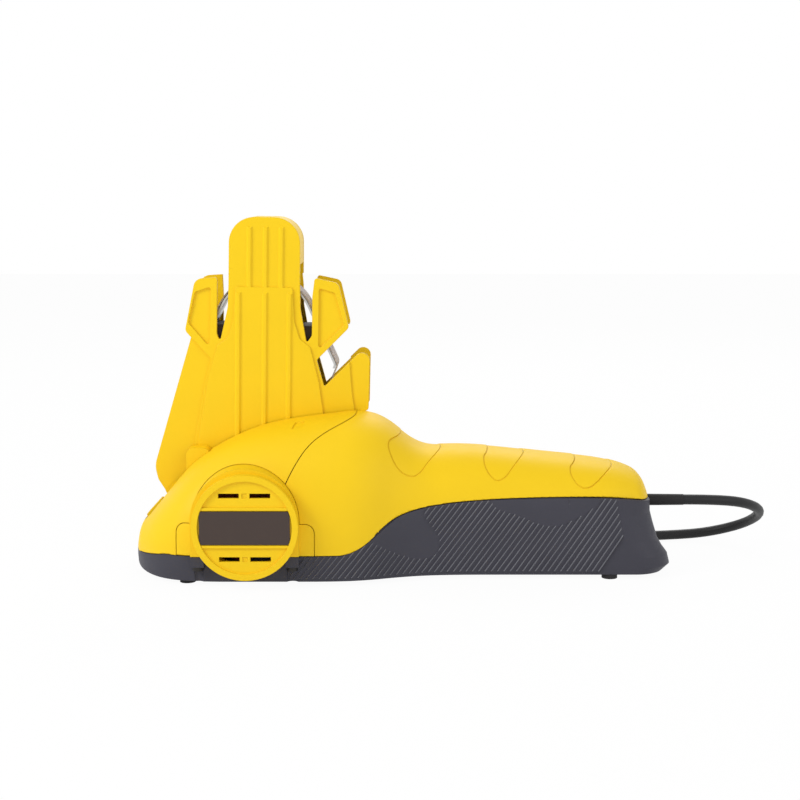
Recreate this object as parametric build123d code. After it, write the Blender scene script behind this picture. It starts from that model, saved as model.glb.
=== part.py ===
"""Corded bench sharpener: an abrasive belt runs over a curved steel platen,
inside a slotted guide that stands in a well behind the motor head.
Millimetres.  +X towards the cord end, +Y away from the motor cap, +Z up.
Origin: middle of the footprint, on the table."""
import os
from math import cos, pi, radians, sin

from build123d import *

os.makedirs("parts", exist_ok=True)

# ---------------------------------------------------------------- driving sizes
wall = 2.5                 # moulded housing wall
fit_gap = 0.3              # between separate pieces that do not slide
run_gap = 0.05             # radial clearance of a shaft or pin in its hole
seam_gap = 0.4             # line between two covers

mid_y = 3.0                # plane that halves the body
foot_height = 2.6
foot_radius = 4.4
base_bottom = foot_height

# body stations: x, bottom z, crest z, half width, height where the sides turn in
stations = [
    (-150.6, 7.5, 15.5, 7.0, 11.0), (-149.0, 5.6, 22.5, 14.0, 13.0),
    (-145.0, 4.0, 29.4, 23.5, 14.0), (-138.5, 3.0, 36.8, 32.0, 15.0),
    (-130.0, 2.6, 47.0, 38.8, 15.0), (-120.0, 2.6, 58.6, 43.2, 15.0),
    (-107.0, 2.6, 68.2, 45.6, 15.0), (-90.0, 2.6, 77.0, 46.0, 15.0),
    (-72.0, 2.6, 82.9, 46.0, 15.0), (-54.0, 2.6, 86.0, 46.0, 15.0),
    (-38.0, 2.6, 87.9, 45.6, 15.5), (-25.0, 2.6, 88.6, 44.0, 17.0),
    (-15.0, 2.6, 87.2, 41.2, 20.0), (-6.0, 2.6, 82.4, 38.0, 25.0),
    (3.0, 2.6, 75.4, 35.2, 30.0), (13.0, 2.6, 70.6, 33.0, 33.0),
    (26.0, 2.6, 70.0, 31.6, 35.0), (47.0, 2.6, 69.3, 31.0, 36.0),
    (73.0, 2.6, 66.6, 31.0, 36.0), (97.0, 2.6, 64.1, 31.0, 35.0),
    (118.0, 2.6, 60.9, 30.7, 34.0), (129.0, 2.6, 57.3, 28.6, 33.0),
    (135.0, 2.6, 52.2, 24.0, 31.0), (138.6, 2.6, 45.0, 15.0, 29.0)]
section_power = 2.5        # squareness of the rounded upper part of each section

# line between the grey base and the yellow covers, seen from the side (x, z)
split_left = [(-160.0, 12.0), (-146.0, 13.6), (-130.0, 16.4)]
split_rise = [(-34.0, 16.8), (-21.0, 22.0), (-7.4, 33.9), (6.9, 39.9), (28.0, 43.3),
              (63.0, 45.6), (100.0, 46.1), (126.0, 44.8), (142.0, 41.6)]
# line between the head cover and the handle cover (x, z), bottom to top
cover_split = [(-64.5, 54.0), (-61.0, 61.2), (-56.0, 69.6), (-50.0, 76.6),
               (-40.0, 83.0), (-28.0, 88.4), (-14.0, 96.0)]

# end flare of the base: z, how far it reaches in x, half width
end_flare = [(2.6, 146.5, 30.4), (6.5, 150.6, 30.8), (12.0, 149.2, 31.0),
             (16.0, 146.2, 31.0), (21.0, 143.4, 31.0), (30.0, 140.6, 31.0),
             (36.0, 139.0, 31.0), (48.0, 138.6, 31.0)]
end_flare_start = 92.0
end_corner = 17.0

# motor, lying along Y
motor_x, motor_z = -84.7, 34.7
can_radius, can_wall = 22.0, 1.5
can_front, can_back = -31.0, 6.0
shaft_radius = 2.5
shaft_front, shaft_back = -38.5, 42.2
bearing_radius = 6.5
core_radius, core_front, core_back = 14.0, -21.0, -2.0
commutator_radius, commutator_front, commutator_length = 5.5, -30.0, 6.0
magnet_thickness = 4.6
fan_radius, fan_front, fan_length = 15.0, 0.3, 2.9
bell_length = 6.0
bell_front = can_front - bell_length
brush_y = commutator_front + commutator_length / 2
brush_width, brush_reach, brush_height = 5.0, 7.0, 5.0
bush_radius, bush_length = 4.5, 4.6
shaft_bore = shaft_radius + 0.02
motor_screw_radius = 9.6
motor_screw_places = [(motor_x + motor_screw_radius * cos(radians(a)),
                       motor_z + motor_screw_radius * sin(radians(a))) for a in (210, 330)]
cradle_places = (-22.0, -8.0)
cradle_thickness, cradle_top = 2.0, 24.0

# cover over the motor's end
cap_radius = 28.8
cap_face_y, cap_seat_y = -53.0, -47.0
cap_rim_width = 3.4
cap_recess = 1.4
vent_length, vent_height, vent_rise, vent_pitch = 11.1, 2.6, 17.4, 16.8
dimple_width, dimple_depth = 2.6, 0.5
badge_height, badge_width, badge_thickness = 18.0, 48.6, 1.2
cap_skirt_length = 6.0
boss_x, boss_z, boss_radius = -85.5, 36.4, 29.4    # arched housing that carries the cap
boss_foot = 17.6
boss_wall = 3.0
boss_back = -26.0
drum_radius = 27.9         # round lower part of that housing, in the base's side
drum_back = -38.0
ear_left, ear_right, ear_top = -123.2, -48.0, 34.6
ear_proud = 0.6
skin_depth = 1.2           # how deep the ears are let into the body
skirt_radius = drum_radius - wall - fit_gap
lug_width, lug_height, lug_back = 7.4, 6.0, -40.5
ear_front = mid_y - 46.0 - ear_proud

# well behind the head, for the belt and its guide
well_left, well_right = -126.0, -30.0
well_front, well_back = 8.5, 46.5
well_floor, well_rim = 17.0, 40.0
notch_left, notch_right = -131.0, -24.0

# belt and what carries it, in a frame that leans about the guide's foot
guide_x = -80.6
guide_lean = 1.1           # degrees, towards +X
belt_front, belt_width = 17.5, 24.0
belt_thickness = 0.8
belt_arch_radius = 29.0    # outer face of the belt over the platen
belt_arch_rise = 102.3     # arch centre above the motor shaft
kink_half, kink_rise = 36.9, 80.5    # where the belt turns in, past the platen's ends
kink_radius = 5.0
pulley_radius = 12.0
platen_thickness = 1.2
platen_width = 22.0
frame_front, frame_thickness = 14.2, 2.8
shoulder_rise, shoulder_height, shoulder_wall = 103.0, 12.0, 3.0
frame_foot_radius = 14.0
pulley_u = motor_x - guide_x
belt_back = belt_front + belt_width
frame_back = frame_front + frame_thickness
arm_thickness = 2.4
arm_front = frame_back + fit_gap
arm_back = arm_front + arm_thickness
tension_post_u, tension_post_v = -2.0, 46.0
tension_roller_radius, tension_roller_v = 6.0, 26.0
tension_pin_radius, post_radius = 1.6, 3.0
spring_front, spring_length, spring_wire = arm_back + 0.1, 3.3, 1.0
spring_reach, spring_peg_radius = 12.0, 1.2
spring_leg_low = tension_post_v - spring_wire / 2

# slotted guide
plate_front, plate_thickness = 10.6, 3.0
panel_proud = 0.9
back_front, back_thickness = 42.7, 2.8
guide_top = 164.3          # above the motor shaft
arch_half, arch_corner = 20.0, 14.5
hood_low = 138.0           # lower edge of the roof over the arch
hood_wall = 2.0
slot_ease = 0.6            # the far plate's slots are this much wider each side
guide_foot = well_floor + 1.2 - motor_z      # clears the floor although the guide leans
# outlines of one half of the guide: across, above the shaft, corner radius
left_wing = [(-20.2, 126.0, 10.0), (-20.6, 113.0, 10.0), (-24.9, 93.4, 0.7), (-26.8, 98.0, 3.0),
             (-26.6, 130.0, 1.4), (-39.2, 128.9, 5.0), (-44.8, 99.4, 3.6)]
left_flank = [(-29.8, 83.6, 2.0), (-33.2, 71.0, 25.0), (-39.3, 34.0, 25.0), (-41.5, 16.0, 8.0)]
right_wing = [(20.2, 126.0, 10.0), (20.6, 113.0, 10.0), (24.3, 93.4, 0.7), (27.3, 98.0, 3.0),
              (27.3, 120.0, 12.0), (28.5, 130.6, 1.4), (42.0, 128.0, 4.0), (48.3, 102.8, 3.0)]
right_flank = [(30.2, 84.0, 1.6), (34.6, 68.7, 0.7), (60.4, 94.8, 4.4), (60.2, 55.2, 2.2),
               (49.0, 55.2, 5.0), (42.3, 46.5, 5.0), (41.5, 16.0, 8.0)]
back_skirt = [(-46.0, 91.5, 4.0), (-67.0, 14.0, 20.0), (-58.5, -6.0, 9.0), (-49.3, -6.0, 1.5),
              (-49.3, 7.2, 0.8)]
# near plate's skirt, which hides the belt's left side: clears the body's crest below
near_skirt = [(-34.0, 97.5, 0.8), (-41.0, 97.5, 0.8), (-62.4, 21.0, 14.0), (-60.4, 13.0, 6.0),
              (-56.2, 6.6, 1.0), (-51.5, 12.0, 1.0), (-49.6, 12.0, 0.5), (-49.6, 7.2, 0.8),
              (-39.5, 7.2, 0.5), (-39.5, 16.0, 8.0), (-37.0, 34.0, 20.0), (-31.0, 66.0, 20.0),
              (-28.6, 80.0, 2.0)]
skirt_step = 1.5           # how far the skirt's face lies behind the plate's
panel_half = [(16.2, 125.0, 1.6), (17.2, 106.0, 8.0), (20.4, 96.0, 4.0), (26.4, 91.4, 2.0),
              (31.5, 72.0, 30.0), (37.3, 34.0, 20.0)]
upper_ribs = (-8.4, 0.6, 9.6)
lower_ribs = (-14.5, 0.6, 14.5)
rib_width, rib_top, rib_slope = 3.4, 159.0, 45.0
pocket_depth = 1.2
fold_line = [(48.7, 86.0), (50.4, 66.7), (53.1, 50.0)]      # right of it the wing lies a step back
fold_depth = 0.8
foot_slot = 15.4           # half width of the slot that clears the belt frame's foot
tie_places = [(-37.5, 113.0), (40.0, 113.0), (-36.0, -9.0), (36.0, -9.0)]
tie_radius, tie_screw_length = 3.4, 12.0
bulge_u, bulge_v, bulge_cap_radius = -35.8, 19.7, 25.0
bulge_back = 53.0

# lock lever beside the guide, switch, feet and fasteners
lock_x, lock_width, lock_top = -115.8, 13.6, 69.2
lock_front, lock_pad_front, lock_pad_low = -1.0, 6.0, 63.2
lock_pivot_z, lock_pin_radius = 48.0, 1.5
switch_x, switch_z, switch_tilt = -140.6, 34.4, -48.0
switch_width, switch_length, switch_depth = 12.0, 17.0, 11.0
rocker_proud = 1.6
foot_places = [(-118.5, mid_y - 34.5), (-118.5, mid_y + 34.5),
               (115.5, mid_y - 26.0), (115.5, mid_y + 26.0)]
foot_recess = 1.2
post_places = [(-133.0, mid_y + 24.0), (-38.0, mid_y - 31.0), (-16.0, mid_y + 29.0),
               (60.0, mid_y - 22.0), (60.0, mid_y + 22.0), (124.0, mid_y)]
post_outer, post_hole, post_split = 4.0, 1.65, 12.0
screw_radius, screw_head, screw_sink = 1.6, 3.0, 2.4
board_x, board_z, board_length, board_width, board_thickness = 62.0, 20.0, 46.0, 32.0, 1.6
board_posts = [(board_x + i * 18.0, mid_y + j * 12.0) for i in (-1, 1) for j in (-1, 1)]
lug_screw_y = -43.8
lug_screws = [(boss_x + side * (boss_radius - lug_width / 2), lug_screw_y) for side in (-1, 1)]

# cord
cord_diameter = 5.8
cord_exit_z = 38.8
relief_length, relief_inside = 32.0, 10.0
relief_big, relief_small = 3.4, 3.1
cord_route = [
    (160.6, 3.0, 38.8), (181.0, 3.0, 38.8), (201.0, 12.4, 34.6), (213.5, 31.5, 25.2),
    (208.6, 53.4, 13.4), (188.2, 65.2, 5.0), (165.0, 66.6, 2.95), (139.0, 63.6, 2.9),
    (113.0, 59.6, 2.9), (87.0, 57.1, 2.9), (66.0, 57.1, 2.9)]
coil_x, coil_y, coil_turn_radius = 66.0, 89.5, 29.5
coil_layers, coil_columns = 4, 2
tail_route = [
    (33.6, 89.5, 8.7), (33.6, 107.5, 6.4), (26.0, 124.0, 5.6), (12.0, 136.0, 8.6), (-6.0, 141.0, 8.6)]
plug_length, plug_width, plug_height = 30.0, 24.0, 17.2
plug_neck_length, plug_neck_radius = 15.0, 4.6
blade_length, blade_height, blade_thickness, blade_pitch = 17.5, 6.4, 1.5, 12.7

# ---------------------------------------------------------------- helpers
def save(part, name):
    """Write one node and say what it holds."""
    part = Compound(children=list(part.solids())) if len(part.solids()) > 1 else part.solids()[0]
    export_step(part, f"parts/{name}.step")
    print(f"{name:24s} solids {len(part.solids())} volume {part.volume:10.1f}")


def slab(sketch, y_low, y_high):
    """A sketch drawn as (x, z), made solid between two Y planes."""
    return extrude(Pos(0, y_high, 0) * (Plane.XZ * sketch), y_high - y_low)


def outline(*points):
    """Face with straight edges, from (x, z) points."""
    return make_face(Polyline(*points, close=True))


def rod(radius, y_low, y_high, x=0.0, z=0.0):
    """Round bar along Y."""
    return slab(Pos(x, z) * Circle(radius), y_low, y_high)


def tube(outer, inner, y_low, y_high, x=0.0, z=0.0):
    """Hollow round bar along Y."""
    return slab(Pos(x, z) * (Circle(outer) - Circle(inner)), y_low, y_high)


def block(x_low, x_high, y_low, y_high, z_low, z_high):
    """Box from its six faces."""
    return Pos(x_low, y_low, z_low) * Box(x_high - x_low, y_high - y_low, z_high - z_low,
                                         align=(Align.MIN, Align.MIN, Align.MIN))


def leaning(part):
    """From the guide's own frame (u across, v above the motor shaft) to the body."""
    return Pos(guide_x, 0, motor_z) * Rot(0, guide_lean, 0) * part


# ---------------------------------------------------------------- body form
def section(x, bottom, crest, half, turn, inset):
    """Closed section across the body: flat bottom, upright sides, rounded top."""
    half, bottom, crest = half - inset, bottom + inset, crest - inset
    turn = min(max(turn, bottom + 0.3 * (crest - bottom)), crest - 0.2 * (crest - bottom))
    side = [(half - 0.6, bottom), (half, (bottom + turn) / 2), (half, turn)]
    top = []
    for step in range(1, 6):
        angle = radians(step * 18)
        top.append((half * cos(angle) ** (2 / section_power),
                    turn + (crest - turn) * sin(angle) ** (2 / section_power)))
    right = [(x, mid_y + y, z) for y, z in side + top[:-1]]
    left = [(x, mid_y - y, z) for y, z in reversed(side + top[:-1])]
    over = Spline(*right, (x, mid_y, crest), *left)
    return Wire([over, Line(over @ 1, over @ 0)])


def body_form(inset):
    """Solid body skin, moved in by the wall where it forms the inside."""
    first, last = stations[0][0] + inset, stations[-1][0] - inset
    chosen = [s for s in stations if first <= s[0] <= last]
    return Solid.make_loft([section(*s, inset) for s in chosen])


def end_block(inset):
    """Flared end of the base under the cord, tapering upwards."""
    levels = []
    for z, reach, half in end_flare:
        lowest = z + (inset if z == end_flare[0][0] else 0)
        width = reach - inset - end_flare_start
        face = Rectangle(width, 2 * (half - inset))
        face = fillet(face.vertices().group_by(Axis.X)[-1], end_corner - inset)
        levels.append(Pos(end_flare_start + width / 2, mid_y, lowest) * face)
    return loft(levels, ruled=True)


def under_split(lift):
    """Everything below the line between base and covers, as seen from the side."""
    left = [(x, z + lift) for x, z in split_left]
    rise = [(x, z + lift) for x, z in split_rise]
    low = -20.0
    edges = [Spline(*left), Line(left[-1], rise[0]), Spline(*rise),
             Polyline(rise[-1], (200, rise[-1][1]), (200, low), (left[0][0], low), left[0])]
    return slab(make_face(edges), -80, 90)


def left_of_split(shift):
    """Everything on the head cover's side of the seam."""
    seam = [(x + shift, z) for x, z in cover_split]
    low, high, far = -30.0, 120.0, -200.0
    edges = [Spline(*seam),
             Polyline(seam[-1], (seam[-1][0], high), (far, high), (far, low), (seam[0][0], low), seam[0])]
    tub_back = block(far, well_right + wall + shift, well_back - wall, 90, low, high)
    return slab(make_face(edges), -80, 90) + tub_back


def well_room(grow):
    """Space behind the head that the belt and its guide stand in, and its open back."""
    tub = block(well_left - grow, well_right + grow, well_front - grow, well_back + grow,
                well_floor - grow, 130)
    back = block(notch_left - grow, notch_right + grow, well_front - grow, 130,
                 well_rim - grow, 130)
    return tub + back


def tombstone(grow):
    """Arched outline of the housing that carries the motor cap."""
    half = boss_radius + grow
    low = boss_foot - grow
    upper = Pos(boss_x, low + 50) * Rectangle(2 * half, 100)
    return (Pos(boss_x, boss_z) * Circle(half) & upper) + outline(
        (boss_x - half, boss_z), (boss_x + half, boss_z), (boss_x + half, low), (boss_x - half, low))


def drum(grow):
    return Pos(motor_x, motor_z) * Circle(drum_radius + grow)


def ear_face(grow):
    """Flat panel either side of the motor housing."""
    half = (ear_right - ear_left) / 2 + grow
    low = split_rise[0][1] + seam_gap - grow
    face = outline((-half, low), (half, low), (half, ear_top + grow), (-half, ear_top + grow))
    face = fillet(face.vertices().group_by(Axis.Y)[-1], 5.0 + grow)
    return Pos((ear_left + ear_right) / 2, 0) * face


# ---------------------------------------------------------------- housing
outer = body_form(0.0)
air = body_form(wall) - well_room(wall)
solid_body = outer - well_room(0.0)
ear_bed = body_form(skin_depth + fit_gap)
sleeve_cut = slab(tombstone(fit_gap), -70, boss_back + fit_gap) + slab(drum(fit_gap), -70, drum_back)
relief_hole = Pos(stations[-1][0], mid_y, cord_exit_z) * Rot(0, 90, 0) * Cylinder(relief_big + run_gap, 16)


def upright(radius, x, y, z_low, z_high):
    """Round bar along Z."""
    return Pos(x, y, z_low) * Cylinder(radius, z_high - z_low,
                                       align=(Align.CENTER, Align.CENTER, Align.MIN))


def at_switch(part):
    """From the switch's own frame (x across, y along the slope, z out) to the body."""
    return Pos(switch_x, mid_y, switch_z) * Rot(0, switch_tilt, 0) * Rot(0, 0, 90) * part


def lock_room(side_gap, sweep):
    """Slot in the crest that the lock lever stands and swings in."""
    left, right = lock_x - lock_width / 2 - side_gap - sweep, lock_x + lock_width / 2 + side_gap
    stem = block(left, right, lock_front - side_gap, lock_pad_front + side_gap, lock_pivot_z + 4, 100)
    return stem + block(left, right, lock_front, well_front + 1, lock_pad_low - 0.6, 100)


def make_base():
    """Grey lower housing: floor, walls, screw posts, motor cradle and lugs."""
    under = under_split(0.0)
    before = block(-160, end_flare_start, -60, 60, -1, 60)
    drum_hole = slab(drum(fit_gap), -70, drum_back)
    base = ((solid_body & under & before) - drum_hole) - air
    base += (end_block(0.0) - end_block(wall)) & under
    added = [upright(post_outer, x, y, base_bottom + 1, post_split) for x, y in post_places]
    added += [upright(2.6, x, y, base_bottom + 1, board_z) for x, y in board_posts]
    for y in cradle_places:
        rib = block(motor_x - can_radius - 3, motor_x + can_radius + 3, y, y + cradle_thickness,
                    base_bottom + 1, cradle_top)
        added.append(rib - rod(can_radius, y - 1, y + cradle_thickness + 1, motor_x, motor_z))
    for x, _ in lug_screws:
        left, right = x - lug_width / 2, x + lug_width / 2
        added.append(block(left, right, cap_seat_y, lug_back, boss_foot - lug_height, split_left[-1][1]))
        added.append(block(left, right, cap_seat_y, ear_front - fit_gap, boss_foot - lug_height,
                           boss_foot - fit_gap))
    base += [one - drum_hole for one in added]
    removed = [relief_hole]
    for x, y in post_places:
        removed.append(upright(post_hole, x, y, 0, post_split + 1))
        removed.append(upright(screw_head + fit_gap, x, y, 0, base_bottom + screw_sink))
    removed += [upright(screw_radius + run_gap, x, y, 0, boss_foot + 1) for x, y in lug_screws]
    removed += [upright(screw_head + fit_gap, x, y, 0, boss_foot - lug_height) for x, y in lug_screws]
    removed += [upright(foot_radius, x, y, 0, base_bottom + foot_recess) for x, y in foot_places]
    return base - removed


def make_covers():
    """Yellow upper housing before it is split at its seam."""
    covers = (solid_body - air) - under_split(seam_gap)
    posts = [upright(post_outer, x, y, post_split, 100) for x, y in post_places]
    lock_ribs = block(lock_x - 9, lock_x + 9, lock_front - 4.0, lock_front - 1.2, 40, 100)
    covers += [solid_body & posts[0] + posts[1:] + [lock_ribs]]
    removed = [sleeve_cut, slab(ear_face(fit_gap), -60, -20) - ear_bed, relief_hole,
               lock_room(fit_gap, 3.4),
               rod(bearing_radius + fit_gap, can_back - 1, well_front + 1, motor_x, motor_z),
               rod(lock_pin_radius + run_gap, lock_front - 5, well_front - 1.0, lock_x, lock_pivot_z),
               at_switch(Box(switch_width, switch_length, 2 * switch_depth))]
    removed += [upright(post_hole, x, y, 0, post_split + 12) for x, y in post_places]
    removed += [rod(screw_radius + run_gap, 0, 30, x, z) for x, z in motor_screw_places]
    return covers - removed


def make_motor_cover():
    """Arched housing over the motor's end, with a flat ear each side."""
    arch = slab(tombstone(0.0), cap_seat_y, boss_back) + slab(drum(0.0), cap_seat_y, drum_back)
    ears = (slab(ear_face(0.0), -60, -20) & body_form(-ear_proud)) - body_form(skin_depth)
    hollow = rod(drum_radius - wall, -60, 0, motor_x, motor_z)
    hollow += rod(boss_radius - boss_wall, -60, 0, boss_x, boss_z)
    cover = arch + (ears - slab(tombstone(0.0), -60, 0) - slab(drum(0.0), -60, 0)) - hollow
    inside = block(-140, -30, drum_back, 0, 0, boss_foot + boss_wall)
    cover -= [inside] + [upright(screw_radius + run_gap, x, y, 0, boss_foot + 6) for x, y in lug_screws]
    return cover


def make_cap():
    """Round vented cap on the motor housing, with a recess for a plate."""
    face = cap_face_y + cap_recess
    ring_inner = cap_radius - cap_rim_width
    cap = rod(cap_radius, cap_face_y, cap_seat_y, motor_x, motor_z)
    cap -= rod(ring_inner, cap_face_y - 1, face, motor_x, motor_z)
    cap -= rod(skirt_radius - 2.0, face + 2.0, cap_seat_y + 1, motor_x, motor_z)
    cap += tube(skirt_radius, skirt_radius - 2.0, cap_seat_y, cap_seat_y + cap_skirt_length,
                motor_x, motor_z)
    strip = Pos(0, badge_height / 2 + 1.3) * Rectangle(60, 1.6)
    strips = Pos(motor_x, motor_z) * ((strip + mirror(strip, Plane.XZ)) & Circle(ring_inner))
    cap += slab(strips, face - 0.9, face)
    for side in (-1, 1):
        for level in (-1, 1):
            vent = Pos(motor_x + side * vent_pitch / 2, motor_z + level * vent_rise)
            cap -= slab(vent * Rectangle(vent_length, vent_height), cap_face_y - 1, cap_seat_y)
    for level in (-1, 1):
        dimple = Pos(motor_x, motor_z + level * vent_rise) * Rectangle(dimple_width, vent_height)
        cap -= slab(dimple, cap_face_y - 1, face + dimple_depth)
    return cap


def make_badge():
    band = Rectangle(badge_width, badge_height) & Circle(cap_radius - cap_rim_width - fit_gap)
    face = cap_face_y + cap_recess
    return slab(Pos(motor_x, motor_z) * band, face - badge_thickness, face)


base = make_base()
covers = make_covers()
front_cover = covers & left_of_split(-seam_gap / 2)
rear_cover = covers - left_of_split(seam_gap / 2)
motor_cover = make_motor_cover()
save(base, "base_shell")
save(front_cover, "front_cover")
save(rear_cover, "rear_cover")
save(motor_cover, "motor_cover")
save(make_cap(), "motor_end_cap")
save(make_badge(), "cap_badge")


# ---------------------------------------------------------------- motor
def motor_ring(outer_radius, inner_radius, y_low, y_high):
    """Ring about the motor's shaft."""
    return tube(outer_radius, inner_radius, y_low, y_high, motor_x, motor_z)


def beside_shaft(side, near, far, y_low, y_high, height):
    """Box left or right of the motor's shaft, level with it."""
    ends = sorted((motor_x + side * near, motor_x + side * far))
    return block(*ends, y_low, y_high, motor_z - height / 2, motor_z + height / 2)


def group(parts):
    """Pieces of one kind that share a node."""
    return Compound(children=[part.solid() for part in parts])


def make_can():
    """Drawn steel can, closed at the back round the rear bush."""
    can = rod(can_radius, can_front, can_back, motor_x, motor_z)
    can -= rod(can_radius - can_wall, can_front - 1, can_back - can_wall, motor_x, motor_z)
    can += rod(bearing_radius, can_back - can_wall - 1.0, can_back + 3.4, motor_x, motor_z)
    can -= rod(bush_radius, can_back - can_wall - 2.0, can_back + 2.2, motor_x, motor_z)
    can -= rod(shaft_radius + 0.6, can_back, can_back + 4, motor_x, motor_z)
    return can - [rod(screw_radius + run_gap, can_back - 3, can_back + 1, x, z)
                  for x, z in motor_screw_places]


def make_magnets():
    inner_edge = can_radius - can_wall - magnet_thickness
    shell = motor_ring(can_radius - can_wall, inner_edge, core_front - 1, core_back + 1)
    return shell - block(-200, 0, -60, 60, motor_z - 9, motor_z + 9)


def make_bell():
    """Moulded end of the motor, with the front bush and a holder for each brush."""
    back = brush_y + brush_width / 2 + 1.5
    bell = rod(can_radius, bell_front, can_front, motor_x, motor_z)
    bell -= rod(commutator_radius + 1.0, can_front - 2, can_front + 1, motor_x, motor_z)
    near, far = commutator_radius + 1.2, commutator_radius + brush_reach + 1.5
    for side in (-1, 1):
        bell += beside_shaft(side, near, far, can_front - 1, back, brush_height + 3)
        bell -= beside_shaft(side, near - 1, commutator_radius + brush_reach, brush_y - brush_width / 2,
                             brush_y + brush_width / 2, brush_height)
    bell -= rod(bush_radius, bell_front + 0.8, can_front, motor_x, motor_z)
    return bell - rod(shaft_radius + 0.6, bell_front - 1, can_front, motor_x, motor_z)


def make_brushes():
    return group([beside_shaft(side, commutator_radius + 0.06, commutator_radius + brush_reach,
                               brush_y - brush_width / 2, brush_y + brush_width / 2, brush_height)
                  for side in (-1, 1)])


def make_bushes():
    return group([motor_ring(bush_radius, shaft_radius + run_gap, bell_front + 0.8,
                             bell_front + 0.8 + bush_length),
                  motor_ring(bush_radius, shaft_radius + run_gap, can_back + 2.2 - bush_length,
                             can_back + 2.2)])


def make_core():
    """Slotted iron core of the armature."""
    core = motor_ring(core_radius, shaft_bore, core_front, core_back)
    slot = Pos(core_radius - 3.0, 0) * Circle(1.9) + Pos(core_radius, 0) * Rectangle(4, 1.2)
    return core - [slab(Pos(motor_x, motor_z) * Rot(0, 0, 60 * i) * slot, core_front - 1, core_back + 1)
                   for i in range(6)]


def make_winding():
    """Wound copper that shows at both ends of the core."""
    return group([motor_ring(core_radius - 2.0, commutator_radius - 1.4, core_front - 1.6, core_front),
                  motor_ring(core_radius - 2.0, shaft_radius + 1.4, core_back, core_back + 2.0)])


def make_fan():
    """Fan that draws air in through the cap and over the motor."""
    fan = motor_ring(fan_radius, shaft_bore, fan_front, fan_front + 0.8)
    fan += motor_ring(5.0, shaft_bore, fan_front, fan_front + fan_length)
    blade = Pos(fan_radius / 2 + 2.0, 0) * Rectangle(fan_radius - 5.0, 0.9)
    return fan + [slab(Pos(motor_x, motor_z) * Rot(0, 0, 45 * i) * blade, fan_front + 0.4,
                       fan_front + fan_length) for i in range(8)]


def make_motor_screws():
    return group([rod(screw_radius, can_back - can_wall, frame_back - screw_sink, x, z)
                  + rod(screw_head - 0.2, frame_back - screw_sink, frame_back - 0.4, x, z)
                  for x, z in motor_screw_places])


# ---------------------------------------------------------------- belt drive
def ring_edge(u, v, radius):
    return (Pos(u, v) * CenterArc((0, 0), radius, 0, 360)).edge()


def hull(*rings):
    """Face inside a string drawn tight round some circles (u, v, radius)."""
    return make_face(make_hull(Edge.edges(Compound(children=[ring_edge(*one) for one in rings]))))


def loop_face(shrink):
    """Area inside the belt's outer face, drawn in by the given amount."""
    return hull((0, belt_arch_rise, belt_arch_radius - shrink),
                (-kink_half, kink_rise, kink_radius - shrink), (kink_half, kink_rise, kink_radius - shrink),
                (pulley_u, 0, pulley_radius + fit_gap + belt_thickness - shrink))


def above(v):
    return Pos(0, v + 100) * Rectangle(200, 200)


platen_outer = loop_face(belt_thickness + fit_gap)
platen_inner = loop_face(belt_thickness + fit_gap + platen_thickness)


def make_belt():
    return leaning(slab(loop_face(0.0) - loop_face(belt_thickness), belt_front, belt_back))


def make_platen():
    """Thin curved steel strip that backs the belt over the arch and both flanks."""
    strip = (platen_outer - platen_inner) & above(kink_rise - 2.0)
    side = (belt_width - platen_width) / 2
    return leaning(slab(strip, belt_front + side, belt_back - side))


def make_frame():
    """Black frame: foot on the well's front wall, column, and shoulders under the platen."""
    shoulders = platen_inner & (above(shoulder_rise - shoulder_height) - above(shoulder_rise))
    foot = Pos(pulley_u, 0) * Circle(frame_foot_radius)
    column = outline((pulley_u - 11, 4), (pulley_u + 11, 4), (12, 60), (17, shoulder_rise - 8),
                     (-17, shoulder_rise - 8), (-15, 60))
    shoulder_back = belt_back - (belt_width - platen_width) / 2
    frame = slab(foot, well_front, frame_back) + slab(column + shoulders, frame_front, frame_back)
    frame += slab(shoulders, frame_back, shoulder_back)
    frame -= slab(offset(shoulders, -shoulder_wall, kind=Kind.INTERSECTION), frame_back, shoulder_back + 1)
    frame += rod(post_radius, frame_back, arm_back + 4.0, tension_post_u, tension_post_v)
    frame += rod(spring_peg_radius, frame_back - 1, spring_front + spring_wire + 0.2,
                 tension_post_u + spring_reach - 1.0, spring_leg_low - spring_peg_radius)
    frame = leaning(frame) - rod(bearing_radius + 0.4, 0, 30, motor_x, motor_z)
    frame -= [rod(screw_radius + run_gap, 0, 30, x, z) for x, z in motor_screw_places]
    return frame - [rod(screw_head + run_gap, frame_back - screw_sink, 30, x, z)
                    for x, z in motor_screw_places]


def roller_centre():
    """Where the roller lies against the inside of the belt's left lower run."""
    rise = kink_rise
    run = pulley_u + kink_half
    reach = (rise ** 2 + run ** 2) ** 0.5
    low, high = pulley_radius + fit_gap, kink_radius - belt_thickness
    share = tension_roller_v / rise
    inset = low + (high - low) * share - tension_roller_radius - fit_gap
    return pulley_u - run * share - inset * rise / reach, tension_roller_v - inset * run / reach


roller_u, roller_v = roller_centre()


def make_tension_arm():
    """Sprung arm on the frame's post, with the roller's pin."""
    bar = hull((tension_post_u, tension_post_v, post_radius + 2.4), (roller_u, roller_v, 3.6))
    bar -= Pos(tension_post_u, tension_post_v) * Circle(post_radius + run_gap)
    arm = slab(bar, arm_front, arm_back)
    arm += rod(tension_pin_radius, arm_back, belt_back - 1.0, roller_u, roller_v)
    return leaning(arm)


def make_tension_roller():
    return leaning(tube(tension_roller_radius, tension_pin_radius + run_gap, arm_back + fit_gap,
                        belt_back - 1.6, roller_u, roller_v))


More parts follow.
